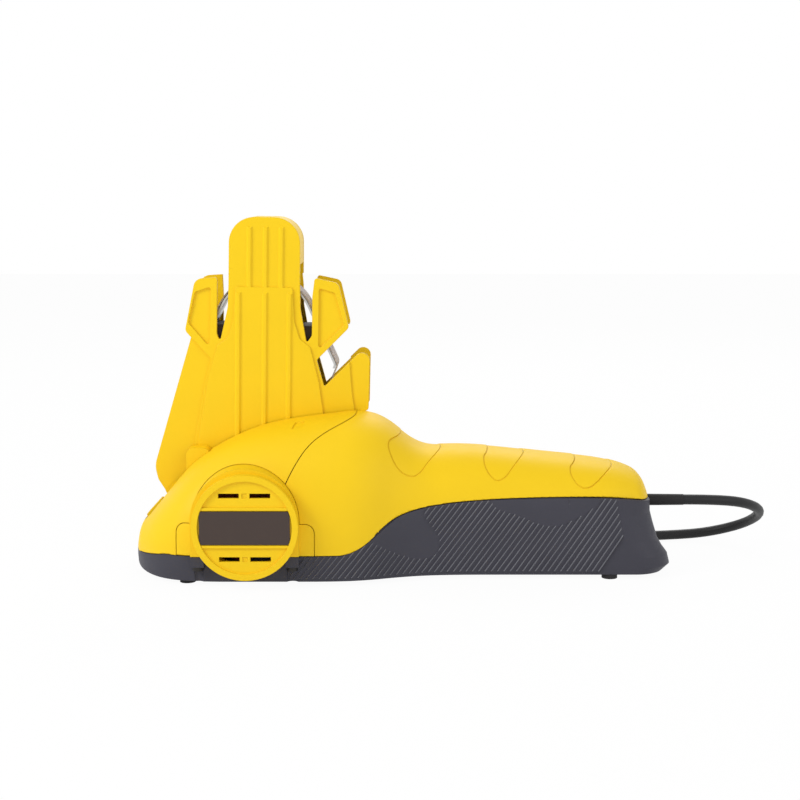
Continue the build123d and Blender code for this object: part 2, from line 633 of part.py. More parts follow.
def make_tension_spring():
    """Torsion spring on the arm's post: its wound body, and the leg that bears on the frame's peg."""
    coil = tube(post_radius + 2.2, post_radius + 0.3, spring_front, spring_front + spring_length,
                tension_post_u, tension_post_v)
    leg = block(tension_post_u + post_radius + 0.6, tension_post_u + spring_reach,
                spring_front, spring_front + spring_wire, spring_leg_low, spring_leg_low + spring_wire)
    return leaning(coil + leg)


def make_pulley():
    """Crownless pulley on the shaft, hollowed at its free end."""
    pulley = motor_ring(pulley_radius, shaft_bore, belt_front + 0.3, belt_back - 0.3)
    return pulley - motor_ring(pulley_radius - 2.6, shaft_radius + 3.0, belt_back - 8, belt_back)


# ---------------------------------------------------------------- slotted guide
def rounded(corners):
    """Face from corners, each with its own radius."""
    points = [(u, v) for u, v, _ in corners]
    return make_face(FilletPolyline(*points, radius=[r for _, _, r in corners], close=True))


def arch_corners():
    """Flat top of the arch and its two round corners, right to left."""
    return [(arch_half, guide_top, arch_corner), (-arch_half, guide_top, arch_corner)]


def front_face():
    foot = [(-41.5, guide_foot, 3.0), (41.5, guide_foot, 3.0)]
    return rounded(arch_corners() + left_wing + left_flank + foot + right_flank[::-1] + right_wing[::-1])


def back_face():
    foot = [(-44.5, guide_foot, 3.0), (41.5, guide_foot, 3.0)]
    top = arch_corners() + left_wing + back_skirt + [(-44.5, 7.2, 1.0)]
    face = rounded(top + foot + right_flank[::-1] + right_wing[::-1])
    slots = [outline((-20.2, 131), (-24.9, 93.4), (-26.8, 131)),
             outline((20.2, 131), (24.3, 93.4), (27.8, 131)),
             outline((30.2, 84.0), (34.6, 68.7), (48.0, 82.2), (46.8, 101.0))]
    return face - [offset(slot, slot_ease, kind=Kind.INTERSECTION) for slot in slots]


def panel_face():
    right = panel_half + [(38.5, 16.0, 0.5)]
    left = [(-u, v, r) for u, v, r in reversed(right)]
    return rounded(right + left)


def wing_pockets():
    left = rounded([(-39.2, 121.5, 1.6), (-30.2, 124.6, 1.2), (-30.8, 90.2, 1.2), (-43.0, 104.0, 2.0)])
    right = rounded([(31.0, 125.0, 1.2), (40.0, 122.4, 1.6), (45.6, 104.2, 1.6), (31.0, 89.8, 1.2)])
    return left + right


def foot_room():
    """Slot from below that lets the plate pass the belt frame's foot."""
    low = guide_foot - 5
    return (Pos(pulley_u, 0) * Circle(foot_slot)
            + outline((pulley_u - foot_slot, low), (pulley_u + foot_slot, low),
                      (pulley_u + foot_slot, 0), (pulley_u - foot_slot, 0)))


def ridge(sketch, y_low, y_high):
    """Like a slab, with sides that slope in towards the near face."""
    return extrude(Pos(0, y_high, 0) * (Plane.XZ * sketch), y_high - y_low, taper=rib_slope)


def make_guide_front():
    """Near plate: raised panel, ribs that steady the blade, pockets in both wings."""
    plate_back = plate_front + plate_thickness
    plate = slab(front_face(), plate_front, plate_back)
    plate -= slab(wing_pockets(), plate_front - 1, plate_front + pocket_depth)
    plate -= slab(outline(*fold_line, (70.0, 50.0), (70.0, 110.0), (48.7, 110.0)),
                  plate_front - 1, plate_front + fold_depth)
    panel_front = plate_front - panel_proud
    plate += slab(panel_face(), panel_front, plate_front)
    rib_low = panel_half[0][1] - 2
    ribs = [Pos(u, (rib_low + rib_top) / 2) * Rectangle(rib_width, rib_top - rib_low) for u in upper_ribs]
    plate += [ridge(rib, panel_front, plate_front) for rib in ribs]
    low_ribs = [Pos(u, 69) * Rectangle(rib_width, 106) for u in lower_ribs]
    plate += [ridge(rib, panel_front - panel_proud, panel_front) for rib in low_ribs]
    plate += slab(rounded(near_skirt), plate_front + skirt_step, plate_back)
    plate -= slab(foot_room(), 0, 30)
    ties = [rod(tie_radius, plate_back, back_front, u, v) for u, v in tie_places]
    plate += ties
    return leaning(plate - [rod(screw_radius + run_gap, back_front - tie_screw_length, 60, u, v)
                            for u, v in tie_places])


def hood_face(inset):
    """Top of the arch down to the roof's lower edge, drawn in all round by an inset."""
    half, top, corner = arch_half - inset, guide_top - inset, arch_corner - inset
    low = hood_low - inset
    return rounded([(half, top, corner), (-half, top, corner), (-half, low, 0.0), (half, low, 0.0)])


def make_guide_back():
    """Far plate with the roof over the arch and the round bulge over the pulley."""
    back = back_front + back_thickness
    plate = slab(back_face(), back_front, back)
    plate += slab(hood_face(0) - hood_face(hood_wall), plate_front + plate_thickness, back_front)
    disc = Pos(bulge_u, bulge_v) * Circle(bulge_cap_radius) & above(well_rim + 1.5 - motor_z)
    plate += slab(disc, back, bulge_back) - slab(offset(disc, -hood_wall), back - 1, bulge_back - hood_wall)
    plate -= slab(Pos(pulley_u, 0) * Circle(shaft_radius + 6.0), back_front - 1, bulge_back - hood_wall)
    heads = [rod(screw_head + run_gap, back - screw_sink + 0.6, back + 1, u, v) for u, v in tie_places]
    return leaning(plate - heads - [rod(screw_radius + run_gap, back_front - 1, back + 1, u, v)
                                    for u, v in tie_places])


def make_guide_screws():
    back = back_front + back_thickness
    screws = [rod(screw_radius, back_front - tie_screw_length + 1, back - screw_sink + 0.6, u, v)
              + rod(screw_head, back - screw_sink + 0.6, back, u, v) for u, v in tie_places]
    return group([leaning(screw) for screw in screws])


# ---------------------------------------------------------------- lock, switch, electrics
def make_lock():
    """Lever that presses on the guide's near plate; a finger tab shows above the crest."""
    half = lock_width / 2
    back = lock_pad_front - fit_gap
    lever = block(lock_x - half, lock_x + half, lock_front, back, lock_pivot_z - 4, lock_top)
    pad_back = plate_front - panel_proud - fit_gap
    lever += block(lock_x - half, lock_x + half, back, pad_back, lock_pad_low, lock_top)
    lever = fillet(lever.edges().filter_by(Axis.Y).group_by(Axis.Z)[-1], 4.0)
    return lever - rod(lock_pin_radius + run_gap, -20, 20, lock_x, lock_pivot_z)


def make_lock_spring():
    low, high = lock_front - 1.1, lock_front - 0.1
    coil = tube(lock_pin_radius + 1.8, lock_pin_radius + 0.2, low, high, lock_x, lock_pivot_z)
    leg = block(lock_x - 0.5, lock_x + 0.5, low, high,
                lock_pivot_z + lock_pin_radius + 0.8, lock_pivot_z + 11)
    return coil + leg


def make_switch_body():
    width, length = switch_width - 0.1, switch_length - 0.1
    case = Pos(0, 0, -switch_depth / 2 - 0.3) * Box(width, length, switch_depth - 0.6)
    room = Pos(0, 0, -2) * Box(switch_width - 3, switch_length - 3, 8)
    pin = Pos(0, 0, -3) * Rot(0, 90, 0) * Cylinder(0.9, switch_width - 2)
    return at_switch((case - room) + pin)


def make_rocker():
    top, bottom = rocker_proud, -4.6
    rocker = Pos(0, 0, (top + bottom) / 2) * Box(switch_width - 3.6, switch_length - 4.6, top - bottom)
    rocker = fillet(rocker.edges().filter_by(Axis.X).group_by(Axis.Z)[-1], 1.0)
    return at_switch(rocker - Pos(0, 0, -3) * Rot(0, 90, 0) * Cylinder(0.95, switch_width))


def make_board():
    return block(board_x - board_length / 2, board_x + board_length / 2, mid_y - board_width / 2,
                 mid_y + board_width / 2, board_z, board_z + board_thickness)


def on_board(x, y, length, width, height):
    """Part standing on the circuit board, placed from the board's middle."""
    low = board_z + board_thickness
    return block(board_x + x - length / 2, board_x + x + length / 2, mid_y + y - width / 2,
                 mid_y + y + width / 2, low, low + height)


def make_feet():
    return group([upright(foot_radius - run_gap, x, y, 0, base_bottom + foot_recess)
                  for x, y in foot_places])


def make_housing_screws():
    seat = base_bottom + screw_sink
    return group([upright(screw_head, x, y, seat - 2.0, seat)
                  + upright(screw_radius, x, y, seat, post_split + 10) for x, y in post_places])


def make_cover_screws():
    seat = boss_foot - lug_height
    return group([upright(screw_head - 0.1, x, y, seat - 2.2, seat)
                  + upright(screw_radius, x, y, seat, boss_foot + 5) for x, y in lug_screws])


# ---------------------------------------------------------------- cord
def make_relief():
    """Tapered rubber sleeve that holds the cord where it leaves the handle."""
    start = stations[-1][0] - relief_inside
    sleeve = Solid.make_cone(relief_big, relief_small, relief_length, Plane.YZ)
    flange = Pos(4.0, 0, 0) * Rot(0, 90, 0) * Cylinder(relief_big + 2.0, 2.6)
    return Pos(start, mid_y, cord_exit_z) * (sleeve + flange)


def corner_radii(points):
    """Bend radius at each inner point: as large as the shorter run beside it allows."""
    radii = []
    for before, here, after in zip(points, points[1:], points[2:]):
        run_in, run_out = Vector(*here) - Vector(*before), Vector(*after) - Vector(*here)
        turn = radians(run_in.get_angle(run_out))
        radii.append(0.45 * min(run_in.length, run_out.length) * cos(turn / 2) / sin(turn / 2))
    return radii


def cord_path(points):
    radii = corner_radii(points)
    print("bend radii", [round(r, 1) for r in radii])
    return FilletPolyline(*points, radius=radii)


def make_cord(points):
    """Round cord along its route, and the length of that route."""
    path = cord_path(points)
    start = Plane(origin=path @ 0, z_dir=path % 0)
    return sweep(start * Circle(cord_diameter / 2), path=path), path.length


def make_coil():
    half = coil_columns * cord_diameter / 2
    ring = Circle(coil_turn_radius + half) - Circle(coil_turn_radius - half)
    return Pos(coil_x, coil_y) * extrude(ring, coil_layers * cord_diameter)


def at_plug(part):
    """From the plug's frame (x along its blades, z up) to where it lies."""
    end, before = Vector(*tail_route[-1]), Vector(*tail_route[-2])
    ahead = Vector(end.X - before.X, end.Y - before.Y, 0)
    return Plane(origin=end, x_dir=ahead, z_dir=(0, 0, 1)).location * part


def make_plug_body():
    sunk = plug_neck_length + 1.0
    neck = Rot(0, 90, 0) * Pos(0, 0, sunk / 2) * Cylinder(plug_neck_radius, sunk)
    grip = Pos(plug_neck_length + plug_length / 2, 0, 0) * Box(plug_length, plug_width, plug_height)
    grip = fillet(grip.edges().filter_by(Axis.X), 5.0)
    grip = fillet(grip.faces().sort_by(Axis.X)[0].edges(), 3.0)
    return at_plug(grip + neck)


def make_plug_blades():
    near = plug_neck_length + plug_length
    return group([at_plug(Pos(near + blade_length / 2, side * blade_pitch / 2, 0)
                          * Box(blade_length, blade_thickness, blade_height)) for side in (-1, 1)])


def make_leads():
    """The three lengths of cord: to the coil, the coil itself, and on to the plug."""
    coil = make_coil()
    lead, lead_length = make_cord(cord_route)
    tail, tail_length = make_cord(tail_route)
    coil_length = coil_layers * coil_columns * 2 * pi * coil_turn_radius
    print(f"cord length {lead_length + coil_length + tail_length:.0f} mm")
    return lead - coil, coil, tail - coil


pieces = {
    "motor_can": make_can(), "motor_magnets": make_magnets(), "motor_end_bell": make_bell(),
    "carbon_brushes": make_brushes(), "shaft_bushes": make_bushes(),
    "motor_shaft": rod(shaft_radius, shaft_front, shaft_back, motor_x, motor_z),
    "armature_core": make_core(), "armature_winding": make_winding(),
    "commutator": motor_ring(commutator_radius, shaft_bore, commutator_front,
                             commutator_front + commutator_length),
    "cooling_fan": make_fan(), "motor_screws": make_motor_screws(),
    "drive_pulley": make_pulley(), "abrasive_belt": make_belt(), "platen": make_platen(),
    "belt_frame": make_frame(), "tension_arm": make_tension_arm(),
    "tension_roller": make_tension_roller(), "tension_spring": make_tension_spring(),
    "guide_front": make_guide_front(), "guide_back": make_guide_back(),
    "guide_screws": make_guide_screws(), "guide_lock": make_lock(),
    "lock_pin": rod(lock_pin_radius, lock_front - 4.5, well_front - 1.2, lock_x, lock_pivot_z),
    "lock_spring": make_lock_spring(), "switch_body": make_switch_body(),
    "power_rocker": make_rocker(), "circuit_board": make_board(),
    "bridge_rectifier": on_board(10, 0, 15, 15, 6.4),
    "suppression_capacitor": on_board(-12, 0, 18, 8, 12),
    "rubber_feet": make_feet(), "housing_screws": make_housing_screws(),
    "cover_screws": make_cover_screws(), "strain_relief": make_relief(),
    "plug_body": make_plug_body(), "plug_blades": make_plug_blades()}
pieces["cord_tube"], pieces["cord_coil"], pieces["cord_tail"] = make_leads()
for node_name, piece in pieces.items():
    save(piece, node_name)
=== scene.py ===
# %% [markdown]
# # A corded belt sharpener, dressed for a render
# The machine comes in as a finished engineering model: every screw, shell and shaft is already there and
# already in place.  This lesson gives it the surfaces that a moulded, ground and woven thing has.  It is
# written in cells, so each step can be run and looked at alone.

# %% Load the model
import math

import bmesh
import bpy
import numpy as np
from mathutils import Matrix, Vector


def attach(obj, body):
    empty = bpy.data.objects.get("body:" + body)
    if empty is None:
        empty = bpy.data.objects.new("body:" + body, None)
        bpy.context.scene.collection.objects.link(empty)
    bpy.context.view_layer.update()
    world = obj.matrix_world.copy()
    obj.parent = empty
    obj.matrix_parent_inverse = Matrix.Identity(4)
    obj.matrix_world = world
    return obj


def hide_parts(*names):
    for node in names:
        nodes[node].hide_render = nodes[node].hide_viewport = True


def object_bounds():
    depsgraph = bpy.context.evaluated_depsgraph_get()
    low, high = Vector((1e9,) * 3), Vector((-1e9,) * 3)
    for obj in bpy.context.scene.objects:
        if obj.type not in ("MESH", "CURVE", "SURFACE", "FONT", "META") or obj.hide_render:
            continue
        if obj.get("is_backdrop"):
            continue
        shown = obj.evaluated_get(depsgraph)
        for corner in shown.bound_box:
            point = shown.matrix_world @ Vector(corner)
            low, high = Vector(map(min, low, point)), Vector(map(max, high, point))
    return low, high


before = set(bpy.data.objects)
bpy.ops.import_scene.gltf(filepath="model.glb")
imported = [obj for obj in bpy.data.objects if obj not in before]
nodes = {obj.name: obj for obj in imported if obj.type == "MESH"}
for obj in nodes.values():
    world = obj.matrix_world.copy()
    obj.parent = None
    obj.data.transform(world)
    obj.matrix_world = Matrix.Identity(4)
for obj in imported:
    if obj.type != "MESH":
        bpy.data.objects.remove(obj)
MM = 0.001
cad_box = [list(corner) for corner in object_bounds()]
print("nodes", len(nodes), "box", [[round(v, 3) for v in corner] for corner in cad_box])

# %% [markdown]
# ## Camera
# A catalogue picture of a low, long machine is taken from a little above the handle, square to its side.
# A long lens keeps the head and the cord end in proportion.  The camera stands on the motor's side and
# looks down by about eight degrees.

# %% Camera
camera_place = (-1.35 * MM, -828.08 * MM, 214.06 * MM)
look_down = 8.068
camera_data = bpy.data.cameras.new("camera")
camera_data.lens = 66.667
camera_data.sensor_width = 36.0
camera = bpy.data.objects.new("camera", camera_data)
camera.location = camera_place
camera.rotation_euler = (math.radians(90 - look_down), 0, 0)
bpy.context.scene.collection.objects.link(camera)
bpy.context.scene.camera = camera
print("camera", camera_place)

# %% [markdown]
# ## Studio
# The stage is a pale table in a white room.  The world shines evenly, so a colour comes out about as it
# is written, and one broad lamp from the upper left gives the round head its shape.  Two weaker ones, from
# the right and from behind, keep the other sides open.  What the lens, a mirror or a glass sees of the room
# is plain white; that is a matter of the room's own colour, and adds no light to the machine.

# %% The white room
scene = bpy.context.scene
scene.view_settings.view_transform = "Standard"


def seen_directly(tree):
    """1 where a ray comes from the lens, a reflection or a glass, otherwise 0."""
    path = tree.nodes.new("ShaderNodeLightPath")
    first = tree.nodes.new("ShaderNodeMath")
    first.operation = "MAXIMUM"
    second = tree.nodes.new("ShaderNodeMath")
    second.operation = "MAXIMUM"
    tree.links.new(path.outputs["Is Camera Ray"], first.inputs[0])
    tree.links.new(path.outputs["Is Glossy Ray"], first.inputs[1])
    tree.links.new(first.outputs[0], second.inputs[0])
    tree.links.new(path.outputs["Is Transmission Ray"], second.inputs[1])
    return second.outputs[0]


room_light = 0.56         # strength of the even light from all sides
world = bpy.data.worlds.new("white_room")
scene.world = world
world.use_nodes = True
tree = world.node_tree
room = tree.nodes["Background"]
room.inputs["Color"].default_value = (1.0, 1.0, 1.0, 1.0)
room.inputs["Strength"].default_value = room_light
seen = tree.nodes.new("ShaderNodeBackground")
seen.inputs["Color"].default_value = (1.0, 1.0, 1.0, 1.0)
seen.inputs["Strength"].default_value = 1.0
choose = tree.nodes.new("ShaderNodeMixShader")
tree.links.new(seen_directly(tree), choose.inputs[0])
tree.links.new(room.outputs[0], choose.inputs[1])
tree.links.new(seen.outputs[0], choose.inputs[2])
tree.links.new(choose.outputs[0], tree.nodes["World Output"].inputs["Surface"])
print("room light", room_light)

# %% The table
floor_whiteness = 0.955   # share of plain white in what the lens sees of the table
floor_size, floor_level = 6.0, -0.0002
bpy.ops.mesh.primitive_plane_add(size=floor_size, location=(0, 0, floor_level))
floor = bpy.context.object
floor.name = "floor"
floor_paint = bpy.data.materials.new("pale_floor")
floor_paint.use_nodes = True
tree = floor_paint.node_tree
matt = tree.nodes["Principled BSDF"]
matt.inputs["Base Color"].default_value = (0.92, 0.92, 0.92, 1.0)
matt.inputs["Roughness"].default_value = 0.9
white = tree.nodes.new("ShaderNodeEmission")
white.inputs["Color"].default_value = (1.0, 1.0, 1.0, 1.0)
white.inputs["Strength"].default_value = 1.0
share = tree.nodes.new("ShaderNodeMath")
share.operation = "MULTIPLY"
share.inputs[1].default_value = floor_whiteness
tree.links.new(seen_directly(tree), share.inputs[0])
blend = tree.nodes.new("ShaderNodeMixShader")
tree.links.new(share.outputs[0], blend.inputs[0])
tree.links.new(matt.outputs[0], blend.inputs[1])
tree.links.new(white.outputs[0], blend.inputs[2])
tree.links.new(blend.outputs[0], tree.nodes["Material Output"].inputs["Surface"])
floor.data.materials.append(floor_paint)
floor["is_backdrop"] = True
print("table", floor_size, "m across")

# %% Lamps
def soft_lamp(name, place, aim, size, power):
    """A square lamp that faces a point."""
    data = bpy.data.lights.new(name, "AREA")
    data.size = size
    data.energy = power
    lamp = bpy.data.objects.new(name, data)
    lamp.location = place
    lamp.rotation_euler = (Vector(aim) - Vector(place)).to_track_quat("-Z", "Y").to_euler()
    scene.collection.objects.link(lamp)
    return lamp


soft_lamp("key", (-1.00, -0.62, 0.85), (-0.03, 0.0, 0.06), 0.55, 9.6)
soft_lamp("fill", (0.95, -0.85, 0.55), (0.0, 0.0, 0.06), 0.9, 3.2)
soft_lamp("rim", (0.2, 0.95, 0.9), (0.0, 0.0, 0.08), 0.7, 4.0)

# %% [markdown]
# ## Finishes
# Almost everything here is either moulded plastic, rubber, or bright metal.  A moulded surface is never
# one flat colour: the pigment clouds a little, the gloss wanders, and the tool leaves a fine grain.  One
# helper builds all of that from noise in the object's own space, so the grain keeps its real size.  A small
# rounding of the normals at corners stands for the radius that every moulded or pressed edge has.

# %% Helper: one real surface
wander = 0.07                                  # how far the gloss strays to either side
plastic_gleam, metal_gleam = 0.22, 0.5
clouds_per_metre, gloss_per_metre = 45.0, 260.0


def surface(name, colour, rough, grain=0.5, depth=0.02, cloud=0.05, metal=0.0, edge=0.0,
            stretch=(1, 1, 1)):
    """Material with clouded colour, wandering gloss and a fine grain; grain, depth and edge in mm."""
    paint = bpy.data.materials.new(name)
    paint.use_nodes = True
    tree = paint.node_tree
    skin = tree.nodes["Principled BSDF"]
    skin.inputs["Metallic"].default_value = metal
    skin.inputs["Specular IOR Level"].default_value = metal_gleam if metal else plastic_gleam
    place = tree.nodes.new("ShaderNodeTexCoord")
    along = tree.nodes.new("ShaderNodeMapping")
    along.inputs["Scale"].default_value = stretch
    tree.links.new(place.outputs["Object"], along.inputs["Vector"])

    def noise(scale, detail):
        made = tree.nodes.new("ShaderNodeTexNoise")
        made.inputs["Scale"].default_value = scale
        made.inputs["Detail"].default_value = detail
        tree.links.new(along.outputs["Vector"], made.inputs["Vector"])
        return made.outputs["Fac"]

    tint = tree.nodes.new("ShaderNodeMix")
    tint.data_type = "RGBA"
    tint.inputs["A"].default_value = (*[c * (1 - cloud) for c in colour], 1.0)
    tint.inputs["B"].default_value = (*[min(c * (1 + cloud), 1.0) for c in colour], 1.0)
    tree.links.new(noise(clouds_per_metre, 4.0), tint.inputs["Factor"])
    tree.links.new(tint.outputs["Result"], skin.inputs["Base Color"])
    gloss = tree.nodes.new("ShaderNodeMapRange")
    gloss.inputs["To Min"].default_value = max(rough - wander, 0.02)
    gloss.inputs["To Max"].default_value = min(rough + wander, 1.0)
    tree.links.new(noise(gloss_per_metre, 3.0), gloss.inputs["Value"])
    tree.links.new(gloss.outputs["Result"], skin.inputs["Roughness"])
    relief = tree.nodes.new("ShaderNodeBump")
    relief.inputs["Strength"].default_value = 1.0
    relief.inputs["Distance"].default_value = depth * MM
    tree.links.new(noise(1.0 / (grain * MM), 2.0), relief.inputs["Height"])
    if edge:
        corner = tree.nodes.new("ShaderNodeBevel")
        corner.samples = 6
        corner.inputs["Radius"].default_value = edge * MM
        tree.links.new(corner.outputs["Normal"], relief.inputs["Normal"])
    tree.links.new(relief.outputs["Normal"], skin.inputs["Normal"])
    return paint


# %% [markdown]
# ## Yellow and grey mouldings
# The covers are an impact plastic dyed right through, polished in the tool and only faintly grained.  The
# base is the same plastic in a warm dark grey with a coarser, more matt grain, which hides scuffs.

# %% Moulded plastics
yellow = surface("yellow_housing_moulded", (0.90, 0.595, 0.008), 0.50,
                 grain=0.55, depth=0.008, cloud=0.025, edge=0.5)
yellow_guide = surface("yellow_guide_moulded", (0.90, 0.60, 0.008), 0.42,
                       grain=0.5, depth=0.010, cloud=0.03, edge=0.6)
grey = surface("grey_housing_moulded", (0.052, 0.051, 0.066), 0.5,
               grain=0.4, depth=0.02, cloud=0.10, edge=0.4)
# paler grey for the ribs' steep faces: a painted highlight, where the lamp from the upper left falls
rib_highlight_grey = surface("grey_rib_painted_highlight", (0.155, 0.155, 0.175), 0.42,
                    grain=0.4, depth=0.01, cloud=0.12)
plate_grey = surface("badge_plate", (0.062, 0.044, 0.038), 0.38,
                     grain=0.3, depth=0.006, cloud=0.06, edge=0.25)
black = surface("black_moulded", (0.022, 0.020, 0.021), 0.42,
                grain=0.45, depth=0.015, cloud=0.15, edge=0.4)
frame_black = surface("carrier_moulded", (0.030, 0.018, 0.012), 0.5,
                      grain=0.45, depth=0.02, cloud=0.18, edge=0.4)
# the end bell's red-brown is painted shade: it stands for the shaded red-brown look through the cap's vents
bell_vent_shade = surface("end_bell_painted_shade", (0.30, 0.055, 0.020), 0.5,
                   grain=0.5, depth=0.02, cloud=0.2, edge=0.3)
print("plastics", [m.name for m in (yellow, yellow_guide, grey, rib_highlight_grey, plate_grey, black,
                                    frame_black, bell_vent_shade)])

# %% [markdown]
# ## Rubber, metal and the parts inside
# Rubber is dull because its skin scatters light at the scale of its filler.  Ground and turned steel has
# its grain drawn out along the tool's path, so the noise is stretched along one axis.  Copper, bronze,
# ferrite and laminate only show when the machine is opened, but they get their own finish all the same.

# %% Rubber and metals
rubber = surface("black_rubber", (0.020, 0.019, 0.020), 0.62,
                 grain=0.35, depth=0.02, cloud=0.2, edge=0.4)
sheath = surface("cord_sheath", (0.018, 0.018, 0.019), 0.45,
                 grain=0.5, depth=0.012, cloud=0.2)
steel = surface("ground_steel", (0.56, 0.56, 0.55), 0.30,
                grain=0.25, depth=0.006, cloud=0.07, metal=1.0, edge=0.2, stretch=(1, 12, 1))
zinc = surface("zinc_plate", (0.64, 0.64, 0.60), 0.36,
               grain=0.6, depth=0.006, cloud=0.12, metal=1.0, edge=0.25)
dark_screw = surface("blackened_steel", (0.030, 0.027, 0.025), 0.42,
                     grain=0.3, depth=0.01, cloud=0.2, metal=0.6, edge=0.25)
alloy = surface("turned_alloy", (0.78, 0.78, 0.79), 0.26,
                grain=0.3, depth=0.006, cloud=0.05, metal=1.0, edge=0.3, stretch=(1, 20, 1))
ferrite = surface("ferrite", (0.045, 0.045, 0.050), 0.7,
                  grain=0.4, depth=0.03, cloud=0.2)
copper = surface("enamelled_copper", (0.62, 0.26, 0.10), 0.28,
                 grain=0.5, depth=0.05, cloud=0.12, metal=1.0)
bronze = surface("bronze", (0.66, 0.48, 0.22), 0.34,
                 grain=0.35, depth=0.01, cloud=0.10, metal=1.0, edge=0.2)
laminate = surface("board_laminate", (0.03, 0.16, 0.07), 0.3,
                   grain=0.7, depth=0.01, cloud=0.15, edge=0.2)
print("metals", [m.name for m in (steel, zinc, dark_screw, alloy, copper, bronze)])

# %% [markdown]
# ## Abrasive belt
# The belt is cloth with a coat of dark mineral grain bound in resin.  Under a lamp each grain catches light
# by itself, so the belt looks speckled and pale grey rather than black.  Cells of a Voronoi pattern are the
# grains: each gets its own shade, and the cell distance lifts it out of the resin.

# %% Abrasive grain
grains_per_metre = 2600.0


def abrasive_coat():
    """Material of packed grains, each with its own shade of grey."""
    paint = bpy.data.materials.new("abrasive_coat")
    paint.use_nodes = True
    tree = paint.node_tree
    skin = tree.nodes["Principled BSDF"]
    skin.inputs["Roughness"].default_value = 0.68
    place = tree.nodes.new("ShaderNodeTexCoord")
    cells = tree.nodes.new("ShaderNodeTexVoronoi")
    cells.inputs["Scale"].default_value = grains_per_metre
    tree.links.new(place.outputs["Object"], cells.inputs["Vector"])
    shade = tree.nodes.new("ShaderNodeValToRGB")
    shade.color_ramp.elements[0].color = (0.26, 0.235, 0.235, 1.0)
    shade.color_ramp.elements[1].color = (0.74, 0.69, 0.70, 1.0)
    split = tree.nodes.new("ShaderNodeSeparateColor")
    tree.links.new(cells.outputs["Color"], split.inputs["Color"])
    tree.links.new(split.outputs["Red"], shade.inputs["Fac"])
    tree.links.new(shade.outputs["Color"], skin.inputs["Base Color"])
    lift = tree.nodes.new("ShaderNodeBump")
    lift.inputs["Strength"].default_value = 1.0
    lift.inputs["Distance"].default_value = 0.06 * MM
    tree.links.new(cells.outputs["Distance"], lift.inputs["Height"])
    tree.links.new(lift.outputs["Normal"], skin.inputs["Normal"])
    return paint


abrasive = abrasive_coat()

# %% Give every part of the model its finish
finishes = {
    yellow: ["front_cover", "rear_cover", "motor_cover", "motor_end_cap", "guide_lock", "power_rocker"],
    yellow_guide: ["guide_front", "guide_back"],
    grey: ["base_shell"],
    plate_grey: ["cap_badge"],
    bell_vent_shade: ["motor_end_bell"],
    black: ["switch_body", "cooling_fan", "suppression_capacitor", "bridge_rectifier", "plug_body"],
    frame_black: ["belt_frame"],
    rubber: ["rubber_feet", "strain_relief"],
    sheath: ["cord_tube", "cord_coil", "cord_tail"],
    abrasive: ["abrasive_belt"],
    steel: ["platen", "lock_spring", "tension_spring", "motor_shaft", "lock_pin"],
    zinc: ["motor_can", "armature_core", "tension_arm", "tension_roller", "motor_screws", "guide_screws"],
    dark_screw: ["housing_screws", "cover_screws"],
    alloy: ["drive_pulley"],
    ferrite: ["motor_magnets", "carbon_brushes"],
    copper: ["armature_winding", "commutator"],
    bronze: ["shaft_bushes", "plug_blades"],
    laminate: ["circuit_board"],
}
dressed = set()
for paint, names in finishes.items():
    for name in names:
        slots = nodes[name].data.materials
        slots.clear()
        slots.append(paint)
        dressed.add(name)
print("dressed", len(dressed), "missing", sorted(set(nodes) - dressed))

# %% [markdown]
# ## The body's form
# Head and handle are one long moulding whose cross-section is a flat-sided arch: upright walls, then a
# squarish round top.  Four things change along its length: the underside, the crest, the half width and the
# height where the walls turn in.  A smooth curve through a few chosen sections gives each of them, and a
# point of the surface follows from where it lies along the body and how high it is.

# %% The sections: place along the body, underside, crest, half width, turn of the walls
middle = 3.0           # depth of the body's middle plane
stations = np.array([
    (-150.6, 7.5, 15.5, 7.0, 11.0), (-149.0, 5.6, 22.5, 14.0, 13.0), (-145.0, 4.0, 29.4, 23.5, 14.0),
    (-138.5, 3.0, 36.8, 32.0, 15.0), (-130.0, 2.6, 47.0, 38.8, 15.0), (-120.0, 2.6, 58.6, 43.2, 15.0),
    (-107.0, 2.6, 68.2, 45.6, 15.0), (-90.0, 2.6, 77.0, 46.0, 15.0), (-72.0, 2.6, 82.9, 46.0, 15.0),
    (-54.0, 2.6, 86.0, 46.0, 15.0), (-38.0, 2.6, 87.9, 45.6, 15.5), (-25.0, 2.6, 88.6, 44.0, 17.0),
    (-15.0, 2.6, 87.2, 41.2, 20.0), (-6.0, 2.6, 82.4, 38.0, 25.0), (3.0, 2.6, 75.4, 35.2, 30.0),
    (13.0, 2.6, 70.6, 33.0, 33.0), (26.0, 2.6, 70.0, 31.6, 35.0), (47.0, 2.6, 69.3, 31.0, 36.0),
    (73.0, 2.6, 66.6, 31.0, 36.0), (97.0, 2.6, 64.1, 31.0, 35.0), (118.0, 2.6, 60.9, 30.7, 34.0),
    (129.0, 2.6, 57.3, 28.6, 33.0), (135.0, 2.6, 52.2, 24.0, 31.0), (138.6, 2.6, 45.0, 15.0, 29.0)])
squareness = 2.5       # exponent of the round top: 2 is an ellipse, more is squarer
wall_lean = 0.6        # how far the walls lean outwards from foot to turn
print("sections", len(stations))


